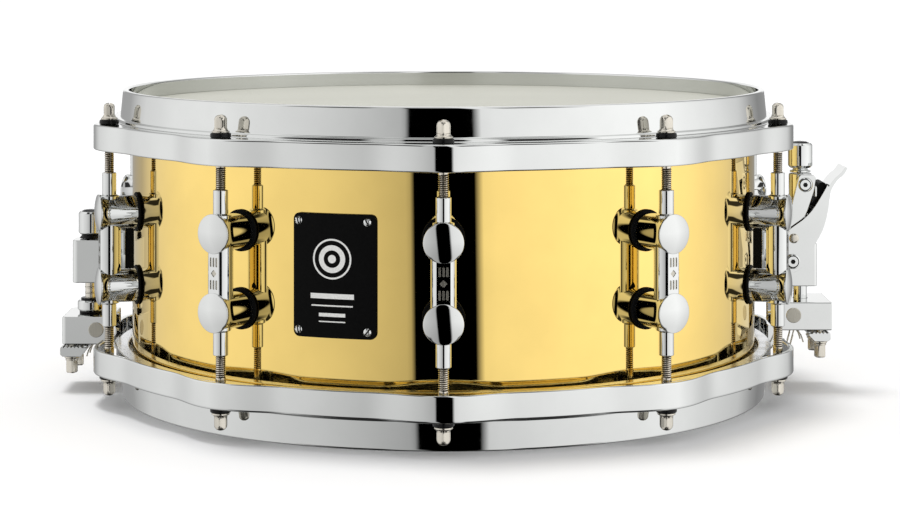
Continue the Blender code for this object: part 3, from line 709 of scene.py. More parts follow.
def add_flesh_hoop(name, side, body, node):
    """A channel that grips the film's edge: rounded outside, with a groove in its top."""
    groove = (FLESH_INNER + FLESH_OUTER) / 2
    profile = rounded([
        (FLESH_INNER, FLESH_LOW, 0.9), (FLESH_OUTER, FLESH_LOW, 0.9),
        (FLESH_OUTER, FLESH_HIGH, 1.4), (groove + 1.0, FLESH_HIGH, 0.4),
        (groove + 0.7, FLESH_HIGH - 1.2, 0.3), (groove - 0.7, FLESH_HIGH - 1.2, 0.3),
        (groove - 1.0, FLESH_HIGH, 0.4), (FLESH_INNER, FLESH_HIGH, 1.4),
    ])
    ring = lathe([(r, side * z) for r, z in profile], 240, ring=True)
    add(name, ring, body, "aluminium", replaces=[node])


def hoop_edge(offset):
    """Outer radius of the skirt, this many degrees from the middle of an ear."""
    away = min(abs(offset) / EAR_HALF_ANGLE, 1.0)
    quick = away * away * (3 - 2 * away)
    gentle = away**3 * (away * (6 * away - 15) + 10)
    smooth = quick * (1 - away) + gentle * away
    return EAR_RADIUS + (RECESS_RADIUS - EAR_RADIUS) * smooth


def hoop_section(edge):
    """Lip, tapered rim, bead at its foot, ear face and hollow skirt, as (radius, height)."""
    roof = EAR_TOP - SKIRT_WALL
    return rounded([
        (RIM_INNER, RIM_TOP, 1.2), (RIM_INNER + RIM_WALL, RIM_TOP, 1.3),
        (RIM_BASE_RADIUS, EAR_TOP + 1.9, 0.7), (RIM_BASE_RADIUS + 1.6, EAR_TOP + 1.5, 0.7),
        (RIM_BASE_RADIUS + 2.1, EAR_TOP, 0.6), (edge, EAR_TOP, 1.4),
        (edge, SKIRT_END, 0.9), (edge - SKIRT_WALL, SKIRT_END, 0.9),
        (edge - SKIRT_WALL, roof, 1.2), (RIM_INNER, roof, 0.6),
    ])


def add_hoop(name, side, body, node, gates=()):
    pitch = 360.0 / LUG_COUNT
    sections = []
    for step in range(HOOP_STEPS):
        angle = 360.0 * step / HOOP_STEPS
        offset = (angle + pitch / 2) % pitch - pitch / 2
        turn = around(angle)
        outline = hoop_section(hoop_edge(offset))
        sections.append([turn @ Vector((r, 0, side * z)) for r, z in outline])
    hole = pin(BORE_RADIUS, EAR_TOP - 8, EAR_TOP + 8, edge=0)
    holes = [moved(hole, around(pitch * k), shift(ROD_CIRCLE, 0, (side - 1) * EAR_TOP))
             for k in range(LUG_COUNT)]
    cutters = [joined(holes)]
    for gate in gates:
        inside, outside = sorted((gate * GATE_INNER, gate * GATE_OUTER))
        low = (inside, -GATE_HALF_WIDTH, GATE_LOW)
        high = (outside, GATE_HALF_WIDTH, GATE_ABOVE_SKIRT - SKIRT_END)
        cutters.append(block(low, high, corner=3.0, along="X"))
    add(name, fused([loft(sections, ring=True)], cutters), body, "chrome", replaces=[node])


# Lug stations


def post_profile():
    """A post's (radius, height from the axis): a round barrel, a slow flare to the disc, a dome."""
    barrel, disc, flare_start, steps = 9.2, 10.1, 192.6, 10
    dome_edge, dome_steps, rounding_radius = 9.4, 8, 0.4
    foot, rim = LUG_FOOT + RING_HEIGHT, LUG_FACE - disc * disc / (2 * DOME_RADIUS)
    flare_length = rim - 1.0 - flare_start
    flare = []
    for step in range(steps + 1):
        share = step / steps
        flare.append((barrel + (disc - barrel) * share**2, flare_start + flare_length * share))
    rounding = arc((disc - rounding_radius, rim - 0.35), rounding_radius, 0, 75, 4)
    dome = []
    for step in range(dome_steps + 1):
        radius = dome_edge * (1 - step / dome_steps)
        dome.append((radius, LUG_FACE - radius**2 / (2 * DOME_RADIUS)))
    return [(0, foot), (barrel, foot), *flare, *rounding, *dome]


def engraving(front, deep):
    """A lozenge between two rows of slots, to cut this deep into the bar's flat front."""
    half_width, half_length, spacing, rows = 0.6, 2.4, 1.9, (-5.7, 5.7)
    slot = rounded([(-half_width, -half_length, 0.5), (half_width, -half_length, 0.5),
                    (half_width, half_length, 0.5), (-half_width, half_length, 0.5)])
    lozenge = rounded([(0, -2.0, 0.3), (1.9, 0, 0.3), (0, 2.0, 0.3), (-1.9, 0, 0.3)])
    marks = [prism(lozenge, front - deep, front + 1, "X")]
    for z in rows:
        for y in (-spacing, 0.0, spacing):
            placed = [(a + y, b + z) for a, b in slot]
            marks.append(prism(placed, front - deep, front + 1, "X"))
    return joined(marks)


def lug_mesh():
    """Two posts, the tube through them for the rods, and the round bar with an engraved flat."""
    post = lathe(post_profile(), 80)
    solids = [moved(post, shift(z=z), OUTWARD) for z in (POST_HEIGHT, -POST_HEIGHT)]
    collar = 5.4
    half = rounded([
        (0, 0), (collar, 0), (collar, POST_HEIGHT + 9.3, 0.5), (TUBE_RADIUS, POST_HEIGHT + 9.9, 0.3),
        (TUBE_RADIUS, TUBE_END, 0.5), (0, TUBE_END),
    ], closed=False)
    mirrored = [(r, -z) for r, z in reversed(half[1:])]
    solids.append(moved(lathe(mirrored + half[1:], 56), shift(ROD_CIRCLE)))
    bar_radius, flat_edge = 6.4, 33.0
    front = ROD_CIRCLE + bar_radius * math.cos(math.radians(flat_edge))
    bar = arc((ROD_CIRCLE, 0), bar_radius, flat_edge, 360 - flat_edge, 56)
    solids.append(prism(bar, -POST_HEIGHT, POST_HEIGHT, "Z"))
    bore = pin(BORE_RADIUS, TUBE_END - 30, TUBE_END + 5, edge=0)
    cutters = [moved(bore, shift(ROD_CIRCLE)), moved(bore, shift(ROD_CIRCLE), UPSIDE_DOWN)]
    deep = 0.35
    cutters.append(engraving(front, deep))
    mesh = fused(solids, cutters)

    def engraved(centre):
        at_floor = abs(centre.x - (front - deep)) < 0.01
        return at_floor and abs(centre.y) < 3 and abs(centre.z) < 9

    two_finishes(mesh, CHROME, SATIN, engraved)
    return mesh


def rod_head_radius(turn, z):
    """A domed round head with four flats for the key."""
    corner, flat, dome_start = 3.45, 2.8, ROD_TOP - HEAD_DOME
    radius = corner
    if z > dome_start:
        radius = corner * math.sqrt(max(0.0, 1 - ((z - dome_start) / HEAD_DOME)**2))
    across = max(abs(math.cos(turn)), abs(math.sin(turn)))
    return min(radius, flat / across)


def thread_radius(turn, z):
    """The radius of a right-hand thread at this angle and height."""
    phase = (z / THREAD_PITCH - turn / math.tau) % 1.0
    return THREAD_CORE + THREAD_DEPTH * (1 - abs(2 * phase - 1))


def rod_mesh():
    """A tension rod pointing up: thread, shank, collar and key head, with true thread turns."""
    segments, rows_per_turn = 24, 6
    sections = [[(0, 0, ROD_END)], circle(1.6, ROD_END, segments),
                circle(2.35, ROD_END + 0.8, segments), circle(2.35, 34.0, segments)]
    rows = round((THREAD_END - THREAD_START) / THREAD_PITCH * rows_per_turn)
    for row in range(rows + 1):
        z = THREAD_START + row * THREAD_PITCH / rows_per_turn
        sections.append(shaped_circle(lambda turn: thread_radius(turn, z), z, segments))
    collar = rounded([
        (ROD_RADIUS, 53.9, 0.2), (ROD_RADIUS, 71.0, 0.2), (4.5, 71.0, 0.2), (4.7, 71.9, 0.25),
        (4.2, 71.95, 0.3), (3.55, 72.6, 0.3), (3.4, 73.2),
    ], steps=3, closed=False)
    sections += [circle(radius, z, segments) for radius, z in collar]
    dome_start = ROD_TOP - HEAD_DOME
    rises = [HEAD_DOME * math.sin(math.radians(a)) for a in (12, 24, 36, 48, 60, 70, 79, 85)]
    for z in [73.5, 74.5, 75.8, dome_start, *(dome_start + rise for rise in rises)]:
        sections.append(shaped_circle(lambda turn: rod_head_radius(turn, z), z, segments))
    sections.append([(0, 0, ROD_TOP)])
    return fused([loft(sections)], [slot_cutter(0.9, 0.9, ROD_TOP)])


def add_lug_stations():
    lug, rod = lug_mesh(), rod_mesh()
    two_finishes(rod, NICKEL, THREAD, lambda centre: centre.z < THREAD_END + 0.5)
    rod_down = moved(rod, UPSIDE_DOWN)
    washer = lathe(rounded([(2.8, 68.5, 0.3), (5.4, 68.5, 0.5), (5.3, 70.9, 0.7), (2.8, 70.9, 0.3)]),
                   40, ring=True)
    low, high = LUG_FOOT - 0.3, LUG_FOOT + RING_HEIGHT
    ring = lathe(rounded([(4.0, low, 0.3), (RING_RADIUS, low, 0.4), (RING_RADIUS, high, 0.5),
                          (4.0, high, 0.3)]), 64, ring=True)
    screw = inner_screw_mesh()
    rings, screws, washers = [], [], {1: [], -1: []}
    for index in range(LUG_COUNT):
        angle = index * 360.0 / LUG_COUNT
        turn = around(angle)
        label = f"{index + 1:02d}"
        add(f"tube_lug_{label}", lug, "drum_shell", "chrome", replaces=[f"lug_{label}"], at=turn)
        for z in (POST_HEIGHT, -POST_HEIGHT):
            rings.append(moved(ring, turn, shift(z=z), OUTWARD))
            screws.append(moved(screw, turn, shift(z=z), OUTWARD))
        spot = turn @ shift(ROD_CIRCLE)
        for head, side, mesh in (("batter", 1, rod), ("snare", -1, rod_down)):
            twist = Matrix.Rotation(math.radians(45 + 37 * index * side), 4, "Z")
            name = f"{head}_rod_{label}"
            add(f"{head}_tension_rod_{label}", mesh, name, "nickel", replaces=[name], at=spot @ twist)
            washers[side].append(moved(washer, spot, UPRIGHT if side > 0 else UPSIDE_DOWN))
    add("lug_rubber_rings", joined(rings), "drum_shell", "rubber")
    add("lug_fixing_screws", joined(screws), "drum_shell", "nickel")
    for side, name, body in ((1, "batter_rod_washers", "batter_hoop_assembly"),
                             (-1, "snare_rod_washers", "snare_hoop_assembly")):
        add(name, joined(washers[side]), body, "rubber", BLACK_PLASTIC_AND_PAINTED_SHADE)


def inner_screw_mesh():
    """The fixing screw of a lug post, seen from inside the shell: washer and slotted head."""
    wall = SHELL_RADIUS - 1.4
    profile = rounded([
        (0, wall - 4.2), (2.6, wall - 4.2, 0.5), (4.2, wall - 3.0, 0.7), (4.2, wall - 1.5, 0.2),
        (6.4, wall - 1.5, 0.3), (6.4, wall, 0.2), (0, wall),
    ], closed=False)
    head = lathe(profile, 32)
    cutter = moved(slot_cutter(1.0, 1.1, 0.0), shift(z=wall - 4.2), UPSIDE_DOWN)
    return fused([head], [cutter])


# Badge


def bent(mesh, face):
    """A flat mesh of (across, height, thickness) points laid round the shell at this radius."""
    for vertex in mesh.vertices:
        across, height, thick = vertex.co
        angle, radius = across / SHELL_RADIUS, face + thick
        vertex.co = (radius * math.cos(angle), radius * math.sin(angle), height)
    mesh.update()
    return mesh


def plate(half_width, half_height, corner, thickness, edge, columns=24):
    """A flat plate of upright strips with rounded corners, ready to be bent."""
    sections = []
    for k in range(columns + 1):
        across = -half_width + 2 * half_width * (0.5 - 0.5 * math.cos(math.pi * k / columns))
        into = max(0.0, abs(across) - (half_width - corner))
        height = half_height - corner + math.sqrt(max(0.0, corner * corner - into * into))
        outline = [(-height, 0), (-height, thickness - edge), (-height + edge, thickness),
                   (height - edge, thickness), (height, thickness - edge), (height, 0)]
        sections.append([(across, b, c) for b, c in outline])
    return loft(sections)


def badge_screw_mesh():
    """A low domed head whose slot floor is painted shade, in black."""
    head = lathe(rounded([(0, -0.4), (2.05, -0.4), (2.05, 0.2, 0.2), (1.2, 0.8, 1.5), (0, 0.9)],
                         closed=False), 32)
    screw = fused([head], [slot_cutter(0.75, 0.5, 0.9)])
    # The slot's floor gets the black material as painted shade.
    two_finishes(screw, CHROME, BLACK_PLASTIC_AND_PAINTED_SHADE, lambda c: abs(c.x) < 0.3 and 0.3 < c.z < 0.5)
    return screw


def add_badge():
    face = SHELL_RADIUS + 0.4
    low, high = span("badge_plate", "z")
    half_width, half_height, deep = 22.0, (high - low) / 2, 1.2
    at = around(BADGE_ANGLE)
    add("badge", bent(plate(half_width, half_height, 3.0, deep, 0.25), face), "drum_shell",
        "badge", replaces=["badge_plate"], at=at)
    add_badge_art(face + deep, at)
    screw = badge_screw_mesh()
    screws = []
    for across, height, twist in BADGE_SCREWS:
        turn = Matrix.Rotation(across / SHELL_RADIUS, 4, "Z")
        screws.append(moved(screw, turn, shift(face + deep, 0, height), OUTWARD,
                            Matrix.Rotation(math.radians(90 + twist), 4, "Z")))
    # The black material on these screws is painted shade on their slot floors.
    add("badge_screws", with_finishes(joined(screws), CHROME, BLACK_PLASTIC_AND_PAINTED_SHADE), "drum_shell", "nickel",
        at=at)



def printed_ring(outer, inner, steps=48):
    """A flat printed ring about the badge's centre."""
    corners = ((inner, PRINT_DEPTH), (outer, PRINT_DEPTH), (outer, BADGE_PRINT), (inner, BADGE_PRINT))
    sections = []
    for k in range(steps):
        angle = math.tau * k / steps
        c, s = math.cos(angle), math.sin(angle)
        sections.append([(BADGE_CENTRE[0] + r * c, BADGE_CENTRE[1] + r * s, t) for r, t in corners])
    return loft(sections, ring=True)


def printed_rule(height, length, tall, steps=12):
    """A flat printed bar, in enough steps to bend round the shell."""
    corners = ((-tall / 2, PRINT_DEPTH), (tall / 2, PRINT_DEPTH),
               (tall / 2, BADGE_PRINT), (-tall / 2, BADGE_PRINT))
    sections = []
    for k in range(steps + 1):
        x = length * (k / steps - 0.5)
        sections.append([(BADGE_CENTRE[0] + x, height + b, t) for b, t in corners])
    return loft(sections)


def add_badge_art(face, at):
    """A plain printed mark of a ring, a disc and rules, with no letters."""
    marks = [printed_ring(*sizes) for sizes in BADGE_RINGS]
    marks += [printed_rule(*sizes) for sizes in BADGE_RULES]
    add("badge_print", bent(joined(marks), face), "drum_shell", "badge", PRINT, at=at)



# Snare wires and cords


def add_snare_wires():
    """Coiled strands soldered to an end plate at each end."""
    high = span("snare_wires", "z")[1]
    centre = high - COIL_RADIUS - WIRE_RADIUS
    turns = int(2 * STRAND_HALF_LENGTH / COIL_PITCH)
    path = []
    for k in range(turns * COIL_STEPS + 1):
        angle = math.tau * k / COIL_STEPS
        path.append((-STRAND_HALF_LENGTH + k * COIL_PITCH / COIL_STEPS,
                     COIL_RADIUS * math.cos(angle), COIL_RADIUS * math.sin(angle)))
    strand = tube(path, WIRE_RADIUS, 4)
    strands = []
    for index in range(STRANDS):
        y = (index - (STRANDS - 1) / 2) * STRAND_SPACING
        strands.append(moved(strand, shift(0, y, centre)))
    add("snare_strands", joined(strands), "snare_wires", "nickel", WIRE, replaces=["snare_wires"])
    for side, name in ((-1, "snare_plate_butt"), (1, "snare_plate_strainer")):
        add_snare_plate(name, side, high)


def add_snare_plate(name, side, high):
    """An end plate with a bead of solder across it and a hole for each cord."""
    inner, outer = sorted((side * PLATE_INNER, side * PLATE_OUTER))
    sheet = block((inner, -PLATE_HALF_WIDTH, high - 1.6), (outer, PLATE_HALF_WIDTH, high - 0.9),
                  corner=3.0, edge=0.15, along="Z")
    solder = block((side * SOLDER_X - 2.5, -20.4, high - 1.4), (side * SOLDER_X + 2.5, 20.4, high),
                   corner=0.6, edge=0.2, along="Z")
    hole = pin(1.1, high - 5, high + 5, edge=0, segments=24)
    holes = joined([moved(hole, shift(side * CORD_HOLE_X, y)) for y in CORD_PLACES])
    add(name, fused([sheet, solder], [holes]), "snare_wires", "nickel", SATIN)



def cords(path, side):
    """The two cords along one path of (x, z) points."""
    line = smooth_line(path, 5)
    return joined([tube([(side * x, y, z) for x, z in line], CORD_RADIUS, 10) for y in CORD_PLACES])


def add_cords(prefix, side, mouth_x, gate, clamp_body, jaw_z, squashed):
    """The span from the end plate up through the hoop's gate, and the gripped end.

    The two overlap along one straight line, so that either can slide past the other."""
    gate_x, gate_z = gate
    run_z = -FILM_TOP - 1.3
    slope = (jaw_z - gate_z) / (mouth_x - gate_x)
    top_z = jaw_z - 4.5
    top_x = gate_x + (top_z - gate_z) / slope
    span_path = [(CORD_HOLE_X, run_z + 2.6), (163.3, run_z - 0.6), (165.5, run_z - 0.6), (176.0, run_z),
                 (184.5, run_z + 0.3), (gate_x - 4.5, gate_z - 7.0), (gate_x, gate_z), (top_x, top_z)]
    span_piece = add(f"{prefix}_cord_span", cords(span_path, side), "snare_wires", "cord")
    low_z = jaw_z - 9.5
    low_x = gate_x + (low_z - gate_z) / slope
    grip_path = [(low_x, low_z), (mouth_x - 0.7, jaw_z - 1.6), (mouth_x + 1.2, jaw_z - 0.35),
                 (mouth_x + 8.0, jaw_z - 0.2), (mouth_x + 16.0, jaw_z - 0.2)]
    add(f"{prefix}_cord_grip", cords(grip_path, side), clamp_body, "cord",
        replaces=[f"{prefix}_cord"])
    tail_path = [(mouth_x - 0.3, jaw_z - 0.8), (mouth_x + 1.5, jaw_z - 2.0),
                 (mouth_x + 3.4, jaw_z - 5.0), (mouth_x + 4.6, jaw_z - 8.6)]
    add(f"{prefix}_cord_tail", cords(tail_path, side), clamp_body, "cord")
    if squashed:
        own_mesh(span_piece)


# Pieces shared by strainer and butt plate


def turned_to(side, mesh):
    """The mesh as made at +X, or turned to -X."""
    return mesh if side > 0 else moved(mesh, Matrix.Rotation(math.pi, 4, "Z"))


def gasket_mesh(node):
    """A pad with rounded corners, its back on the shell's curve and its face flat."""
    low, high = span(node, "z")
    face = max(abs(value) for value in span(node, "x"))
    half = span(node, "y")[1]
    radius, steps = SHELL_RADIUS + 0.1, 16
    sections = []
    for k in range(steps + 1):
        y = half * (2 * k / steps - 1)
        into = max(0.0, abs(y) - (half - GASKET_CORNER))
        trim = GASKET_CORNER - math.sqrt(max(0.0, GASKET_CORNER**2 - into * into))
        back = math.sqrt(radius * radius - y * y)
        sections.append([(back, y, low + trim), (face, y, low + trim),
                         (face, y, high - trim), (back, y, high - trim)])
    return loft(sections)


def base_screw_mesh(face):
    """A slotted raised head that stands on the base plate."""
    head = lathe(rounded([(0, face - 0.5), (2.7, face - 0.5), (2.7, face + 0.5, 0.3),
                          (1.6, face + 1.3, 2.0), (0, face + 1.4)], closed=False), 36)
    return moved(fused([head], [slot_cutter(0.7, 0.7, face + 1.4)]), OUTWARD)


def add_base_screws(prefix, side, face, heights):
    screw = base_screw_mesh(face)
    spots = [(y, z) for y in (-12.0, 12.0) for z in heights]
    screws = [moved(screw, shift(0, y, z), Matrix.Rotation(math.radians(31 * n), 4, "X"))
              for n, (y, z) in enumerate(spots)]
    add(f"{prefix}_base_screws", turned_to(side, joined(screws)), "drum_shell", "nickel", CHROME)


def knob_top(top):
    """The chamfered rim of a knob and the seat of its cap."""
    return [(KNOB_RADIUS, top - 1.2, 0.6), (6.1, top, 0.4), (5.2, top, 0.1), (5.2, top - 0.8),
            (0, top - 0.8)]


def knob_mesh(low, high, neck, shaft_end, axis_x):
    """A knob with chamfered ends on a flanged neck, and the screw below it."""
    top = high - 1.5
    profile = rounded([
        (0, shaft_end), (1.6, shaft_end, 0.3), (1.7, neck + 0.1, 0.1), (5.9, neck + 0.1, 0.3),
        (5.9, neck + 1.2, 0.3), (4.2, neck + 1.7, 0.3), (4.2, low - 0.4, 0.3),
        (5.8, low, 0.4), (KNOB_RADIUS, low + 1.3, 0.6), *knob_top(top),
    ], closed=False)
    return moved(lathe(profile, 72), shift(axis_x))


def knob_cap_mesh(high, axis_x):
    """The black domed disc in a knob's top."""
    profile = rounded([
        (0, high - 2.2), (5.1, high - 2.2), (5.1, high - 1.4, 0.3), (3.6, high - 0.7, 2.0),
        (1.6, high - 0.45, 3.0), (0, high - 0.4),
    ], closed=False)
    return moved(lathe(profile, 48), shift(axis_x))


def jaw_mesh(node, setback):
    """A jaw with teeth across the cord, a slanted inner end and a chamfered outer foot."""
    low, high = (abs(value) for value in span(node, "x"))
    back, front = sorted((low, high))
    front -= setback
    bottom, top = span(node, "z")
    half = span(node, "y")[1]
    pitch, depth, slant = 2.05, 0.8, 3.0
    teeth = int((front - back - 0.6) / pitch)
    outline = [(back + slant, bottom, 0.4), (front - 1.2, bottom, 0.4), (front, bottom + 1.2, 0.4),
               (front, top - depth, 0.1)]
    for tooth in range(teeth):
        x = front - 0.3 - tooth * pitch
        outline += [(x - 0.30 * pitch, top, 0.15), (x - 0.55 * pitch, top, 0.15),
                    (x - 0.85 * pitch, top - depth, 0.1)]
    outline += [(back, top - depth, 0.2), (back, top - depth - 1.0, 0.2)]
    return softened(prism(rounded(outline, 3), -half, half), 0.2)


def square_radius(turn):
    """The radius of a square head with its corners cut off."""
    corner, flat = 3.25, 2.65
    return min(corner, flat / max(abs(math.cos(turn)), abs(math.sin(turn))))


def clamp_screw_mesh(node):
    """Shank, stepped flange and square head, pointing down."""
    low, high = span(node, "z")
    head, flange = low + 8.0, low + 9.4
    shank = lathe(rounded([
        (0, head - 1), (3.6, head - 1, 0.2), (3.6, head + 0.1, 0.2), (4.2, head + 0.5, 0.3),
        (4.2, flange, 0.3), (1.75, flange), (1.75, high, 0.4), (0, high),
    ], closed=False), 48)
    sections = [[(0, 0, low)]]
    for z, size in ((low, 0.80), (low + 0.35, 0.93), (low + 0.9, 1.0), (head - 0.7, 1.0)):
        sections.append(shaped_circle(lambda turn: size * square_radius(turn), z, 24))
    return fused([shank, loft(sections)])



def add_clamp(prefix, side, body, block_piece, pin_at, setback=0.0):
    """The clamp block's jaw, screws and cross pin."""
    node = f"{prefix}_clamp_jaw"
    jaw = turned_to(side, jaw_mesh(node, setback))
    screws = {}
    for label in ("front", "back"):
        name = f"{prefix}_clamp_screw_{label}"
        (x0, x1), (y0, y1) = span(name, "x"), span(name, "y")
        screws[name] = ((x0 + x1) / 2, (y0 + y1) / 2)
    hole = pin(2.0, -90, -40, edge=0, segments=32)
    spots = [moved(hole, shift(x, y)) for x, y in screws.values()]
    add(f"{prefix}_jaw", fused([jaw], [joined(spots)]), body, "chrome", replaces=[node])
    for name, (x, y) in screws.items():
        twist = Matrix.Rotation(math.radians(20 if name.endswith("front") else 62), 4, "Z")
        add(f"{name}_turned", clamp_screw_mesh(name), body, "nickel", replaces=[name],
            at=shift(x, y) @ twist)
    half = span(f"{prefix}_clamp_block", "y")[1]
    proud = 0.35
    cross = pin(CROSS_PIN_RADIUS, -half - proud, half + proud, edge=proud, segments=64)
    cross = moved(cross, shift(side * pin_at[0], 0, pin_at[1]), ALONG_Y)
    add(f"{prefix}_cross_pin", cross, body, "nickel", SATIN)
    add(f"{prefix}_block", block_piece, body, "chrome", replaces=[f"{prefix}_clamp_block"])


def hex_socket_mesh(radius, low, high, socket, depth):
    """A cap with a hexagon socket and a groove round its rim, its face towards +Z. The socket and the
    groove are painted shade, in black.
    """
    cap = lathe(rounded([
        (0, low), (radius, low, 0.1), (radius, high - 0.4, 0.5), (radius - 0.7, high, 0.4), (0, high),
    ], closed=False), 56)
    inner, outer, groove_depth = radius - 1.25, radius - 0.75, 0.35
    groove = lathe([(inner, high - groove_depth), (outer, high - groove_depth), (outer, high + 1),
                    (inner, high + 1)], 56, ring=True)
    mesh = fused([cap], [hexagon(socket, high - depth, high + 1), groove])

    # Faces in the socket and the groove, which get the black material as painted shade.
    def painted_shade_faces(centre):
        away = math.hypot(centre.x, centre.y)
        return low < centre.z < high - 0.1 and (away < socket or inner - 0.05 < away < outer + 0.05)

    two_finishes(mesh, CHROME, BLACK_PLASTIC_AND_PAINTED_SHADE, painted_shade_faces)
    return mesh


# Strainer


def add_strainer():
    add("strainer_pad", gasket_mesh("strainer_gasket"), "drum_shell", "rubber",
        replaces=["strainer_gasket"])
    add_strainer_housing()
    add_carriage()
    add_link()
    add_lever()
    low, high = span("strainer_knob", "z")
    knob = knob_mesh(high - 15.6, high, high - 18.3, low, SLIDE_X)
    add("strainer_tension_knob", knob, "strainer_knob", "chrome", replaces=["strainer_knob"])
    add("strainer_knob_cap", knob_cap_mesh(high, SLIDE_X), "strainer_knob", "rubber", BLACK_PLASTIC_AND_PAINTED_SHADE)
    (x0, x1), (z0, z1) = span("strainer_clamp_block", "x"), span("strainer_clamp_block", "z")
    half = span("strainer_clamp_block", "y")[1]
    body = block((x0, -half, z0), (x1, half, z1), corner=0.9, edge=0.9)
    bores = [moved(pin(PISTON_BORE, z1 - 4.4, z1 + 2, edge=0), shift(SLIDE_X)),
             moved(pin(SHAFT_BORE, z0 - 2, z1, edge=0), shift(SLIDE_X))]
    pin_at = (x0 + 10.6, z1 - 7.3)
    add_clamp("strainer", 1, "strainer_clamp", fused([body], bores), pin_at, setback=1.2)


def add_strainer_housing():
    """The base plate and the tower that guides the piston, with the lever's pivot through it."""
    (x0, x1), (y0, y1) = span("strainer_housing", "x"), span("strainer_housing", "y")
    z0, z1 = span("strainer_housing", "z")
    face = x0 + BASE_THICKNESS
    base = block((x0, y0, z0), (face, y1, z1), corner=3.5, edge=0.6, along="X")
    bottom, top = z0 + 1.3, z1 - 10.3
    outline = rounded([(x0 + 2.4, -7.2, 0), (x1, -7.2, 2.0), (x1, 7.2, 2.0), (x0 + 2.4, 7.2, 0)], 6)
    tower = softened(prism(outline, bottom, top, "Z"), 0.6)
    bore = upright_bore(PISTON_BORE, bottom, top, SLIDE_X)
    pivot = crosswise(PIVOT_BORE, -10, 10, PIVOT_X, PIVOT_Z)
    add("strainer_body", fused([base, tower], [bore, pivot]), "drum_shell", "chrome",
        replaces=["strainer_housing"])
    add_base_screws("strainer", 1, face, (z1 - BASE_SCREW_INSET, z0 + BASE_SCREW_INSET))
    add_pivot_bolt()


def add_pivot_bolt():
    """The lever's pivot pin, with a socket head outside each cheek."""
    seat = 12.3
    shaft = crosswise(1.6, -seat, seat, PIVOT_X, PIVOT_Z)
    end = span("strainer_pivot_pin", "y")[1]
    cap = hex_socket_mesh(4.2, seat - 0.1, end - 0.6, SOCKET_RADIUS, 1.1)
    bolt = joined([shaft, *both_ways(cap, PIVOT_X, PIVOT_Z)])
    # The black material is painted shade in the caps' sockets and grooves.
    add("lever_pivot_bolt", with_finishes(bolt, CHROME, BLACK_PLASTIC_AND_PAINTED_SHADE), "drum_shell", "nickel",
        replaces=["strainer_pivot_pin"])


def add_carriage():
    """The round crosshead and the piston under it, bored for the knob's shaft."""
    low, high = span("strainer_carriage", "z")
    head_low = high - 18.4
    body = lathe(rounded([
        (0, low), (3.9, low, 0.4), (3.9, head_low, 0.3), (6.5, head_low, 0.8), (6.5, high, 0.9),
        (0, high),
    ], closed=False), 72)
    ears = crosswise(3.2, -7.2, 7.2, LINK_X, LINK_Z, edge=0.2)
    solids = [moved(body, shift(SLIDE_X)), ears]
    bore = upright_bore(SHAFT_BORE, low, high, SLIDE_X)
    sockets = [crosswise(PIVOT_BORE, a, b, LINK_X, LINK_Z) for a, b in ((4.9, 9.0), (-9.0, -4.9))]
    add("strainer_crosshead", fused(solids, [bore, *sockets]), "strainer_carriage", "chrome",
        replaces=["strainer_carriage"])


def link_outline():
    """Square-shouldered at the top, narrowing in a curve to the foot."""
    foot_x, foot_z = LINK_FOOT_X, LINK_FOOT_Z
    return rounded([
        (LINK_X - 3.6, LINK_Z + 5.8, 2.2), (LINK_X + 6.3, LINK_Z + 5.8, 2.4),
        (LINK_X + 5.0, LINK_Z - 3.4, 12.0), (LINK_X + 1.4, LINK_Z - 14.4, 14.0),
        (foot_x + 3.6, foot_z + 4.4, 6.0), (foot_x + 3.4, foot_z - 3.2, 3.2),
        (foot_x - 3.4, foot_z - 3.2, 3.2), (foot_x - 3.5, foot_z + 6.0, 12.0),
        (LINK_X - 7.2, LINK_Z - 8.4, 14.0),
    ], steps=6)


def add_link():
    """Two plates joined by a web, with a dished seat for the pivot screw in each."""
    inner, outer = LINK_INNER, LINK_OUTER
    plates = [softened(prism(link_outline(), low, high), 0.45)
              for low, high in ((inner, outer), (-outer, -inner))]
    web = block((LINK_X + 5.4, -outer + 0.6, LINK_Z - 6.8), (LINK_X + 6.7, outer - 0.6, LINK_Z - 0.9),
                corner=0.5)
    frame_mesh = fused([plates[0], web, plates[1]], [])
    seat = lathe([(0, outer - 0.9), (3.2, outer - 0.9), (4.3, outer + 0.1), (4.3, outer + 2),
                  (0, outer + 2)], 56)
    seats = both_ways(seat, LINK_X, LINK_Z)
    add("strainer_link_frame", fused([frame_mesh], seats), "strainer_link", "chrome",
        replaces=["strainer_link"])
    cap = hex_socket_mesh(4.1, outer - 0.85, outer + 0.15, SOCKET_RADIUS, 0.9)
    stub = pin(1.6, 5.2, outer - 0.8, edge=0.2)
    screws = joined(both_ways(joined([cap, stub]), LINK_X, LINK_Z))
    # The black material is painted shade in the caps' sockets and grooves.
    add("link_pivot_screws", with_finishes(screws, CHROME, BLACK_PLASTIC_AND_PAINTED_SHADE), "strainer_link", "nickel")



def cheek_outline():
    """One side of the lever, round the pivot at its heel and rising to the lip."""
    back = smooth_line([(195.4, 0.2), (196.2, 4.8), (199.9, 7.9), (204.4, 11.2), (209.5, 16.6),
                        (214.7, 24.8), (217.9, 30.6)], 4)
    front = smooth_line([(218.9, 28.0), (218.6, 22.0), (217.6, 13.7), (215.3, 5.5), (211.6, -1.6),
                         (206.9, -9.5), (203.4, -15.6)], 4)
    heel = arc((PIVOT_X, PIVOT_Z), 6.2, -28, -205, 12)
    return front + heel + back


def lip_outline():
    """The curved front between the cheeks and the finger lip that it ends in."""
    outer = smooth_line([(214.6, 8.4), (217.6, 14.0), (218.9, 22.0), (219.9, 27.6), (223.2, 33.0),
                         (226.8, 36.3), (228.8, 39.3)], 5)
    inner = smooth_line([(227.5, 40.3), (225.4, 37.4), (221.9, 34.3), (218.5, 29.4), (217.2, 22.2),
                         (216.0, 14.8), (213.4, 9.4)], 5)
    tip = arc((228.15, 39.8), 0.82, -38, 142, 6)
    return outer + tip + inner


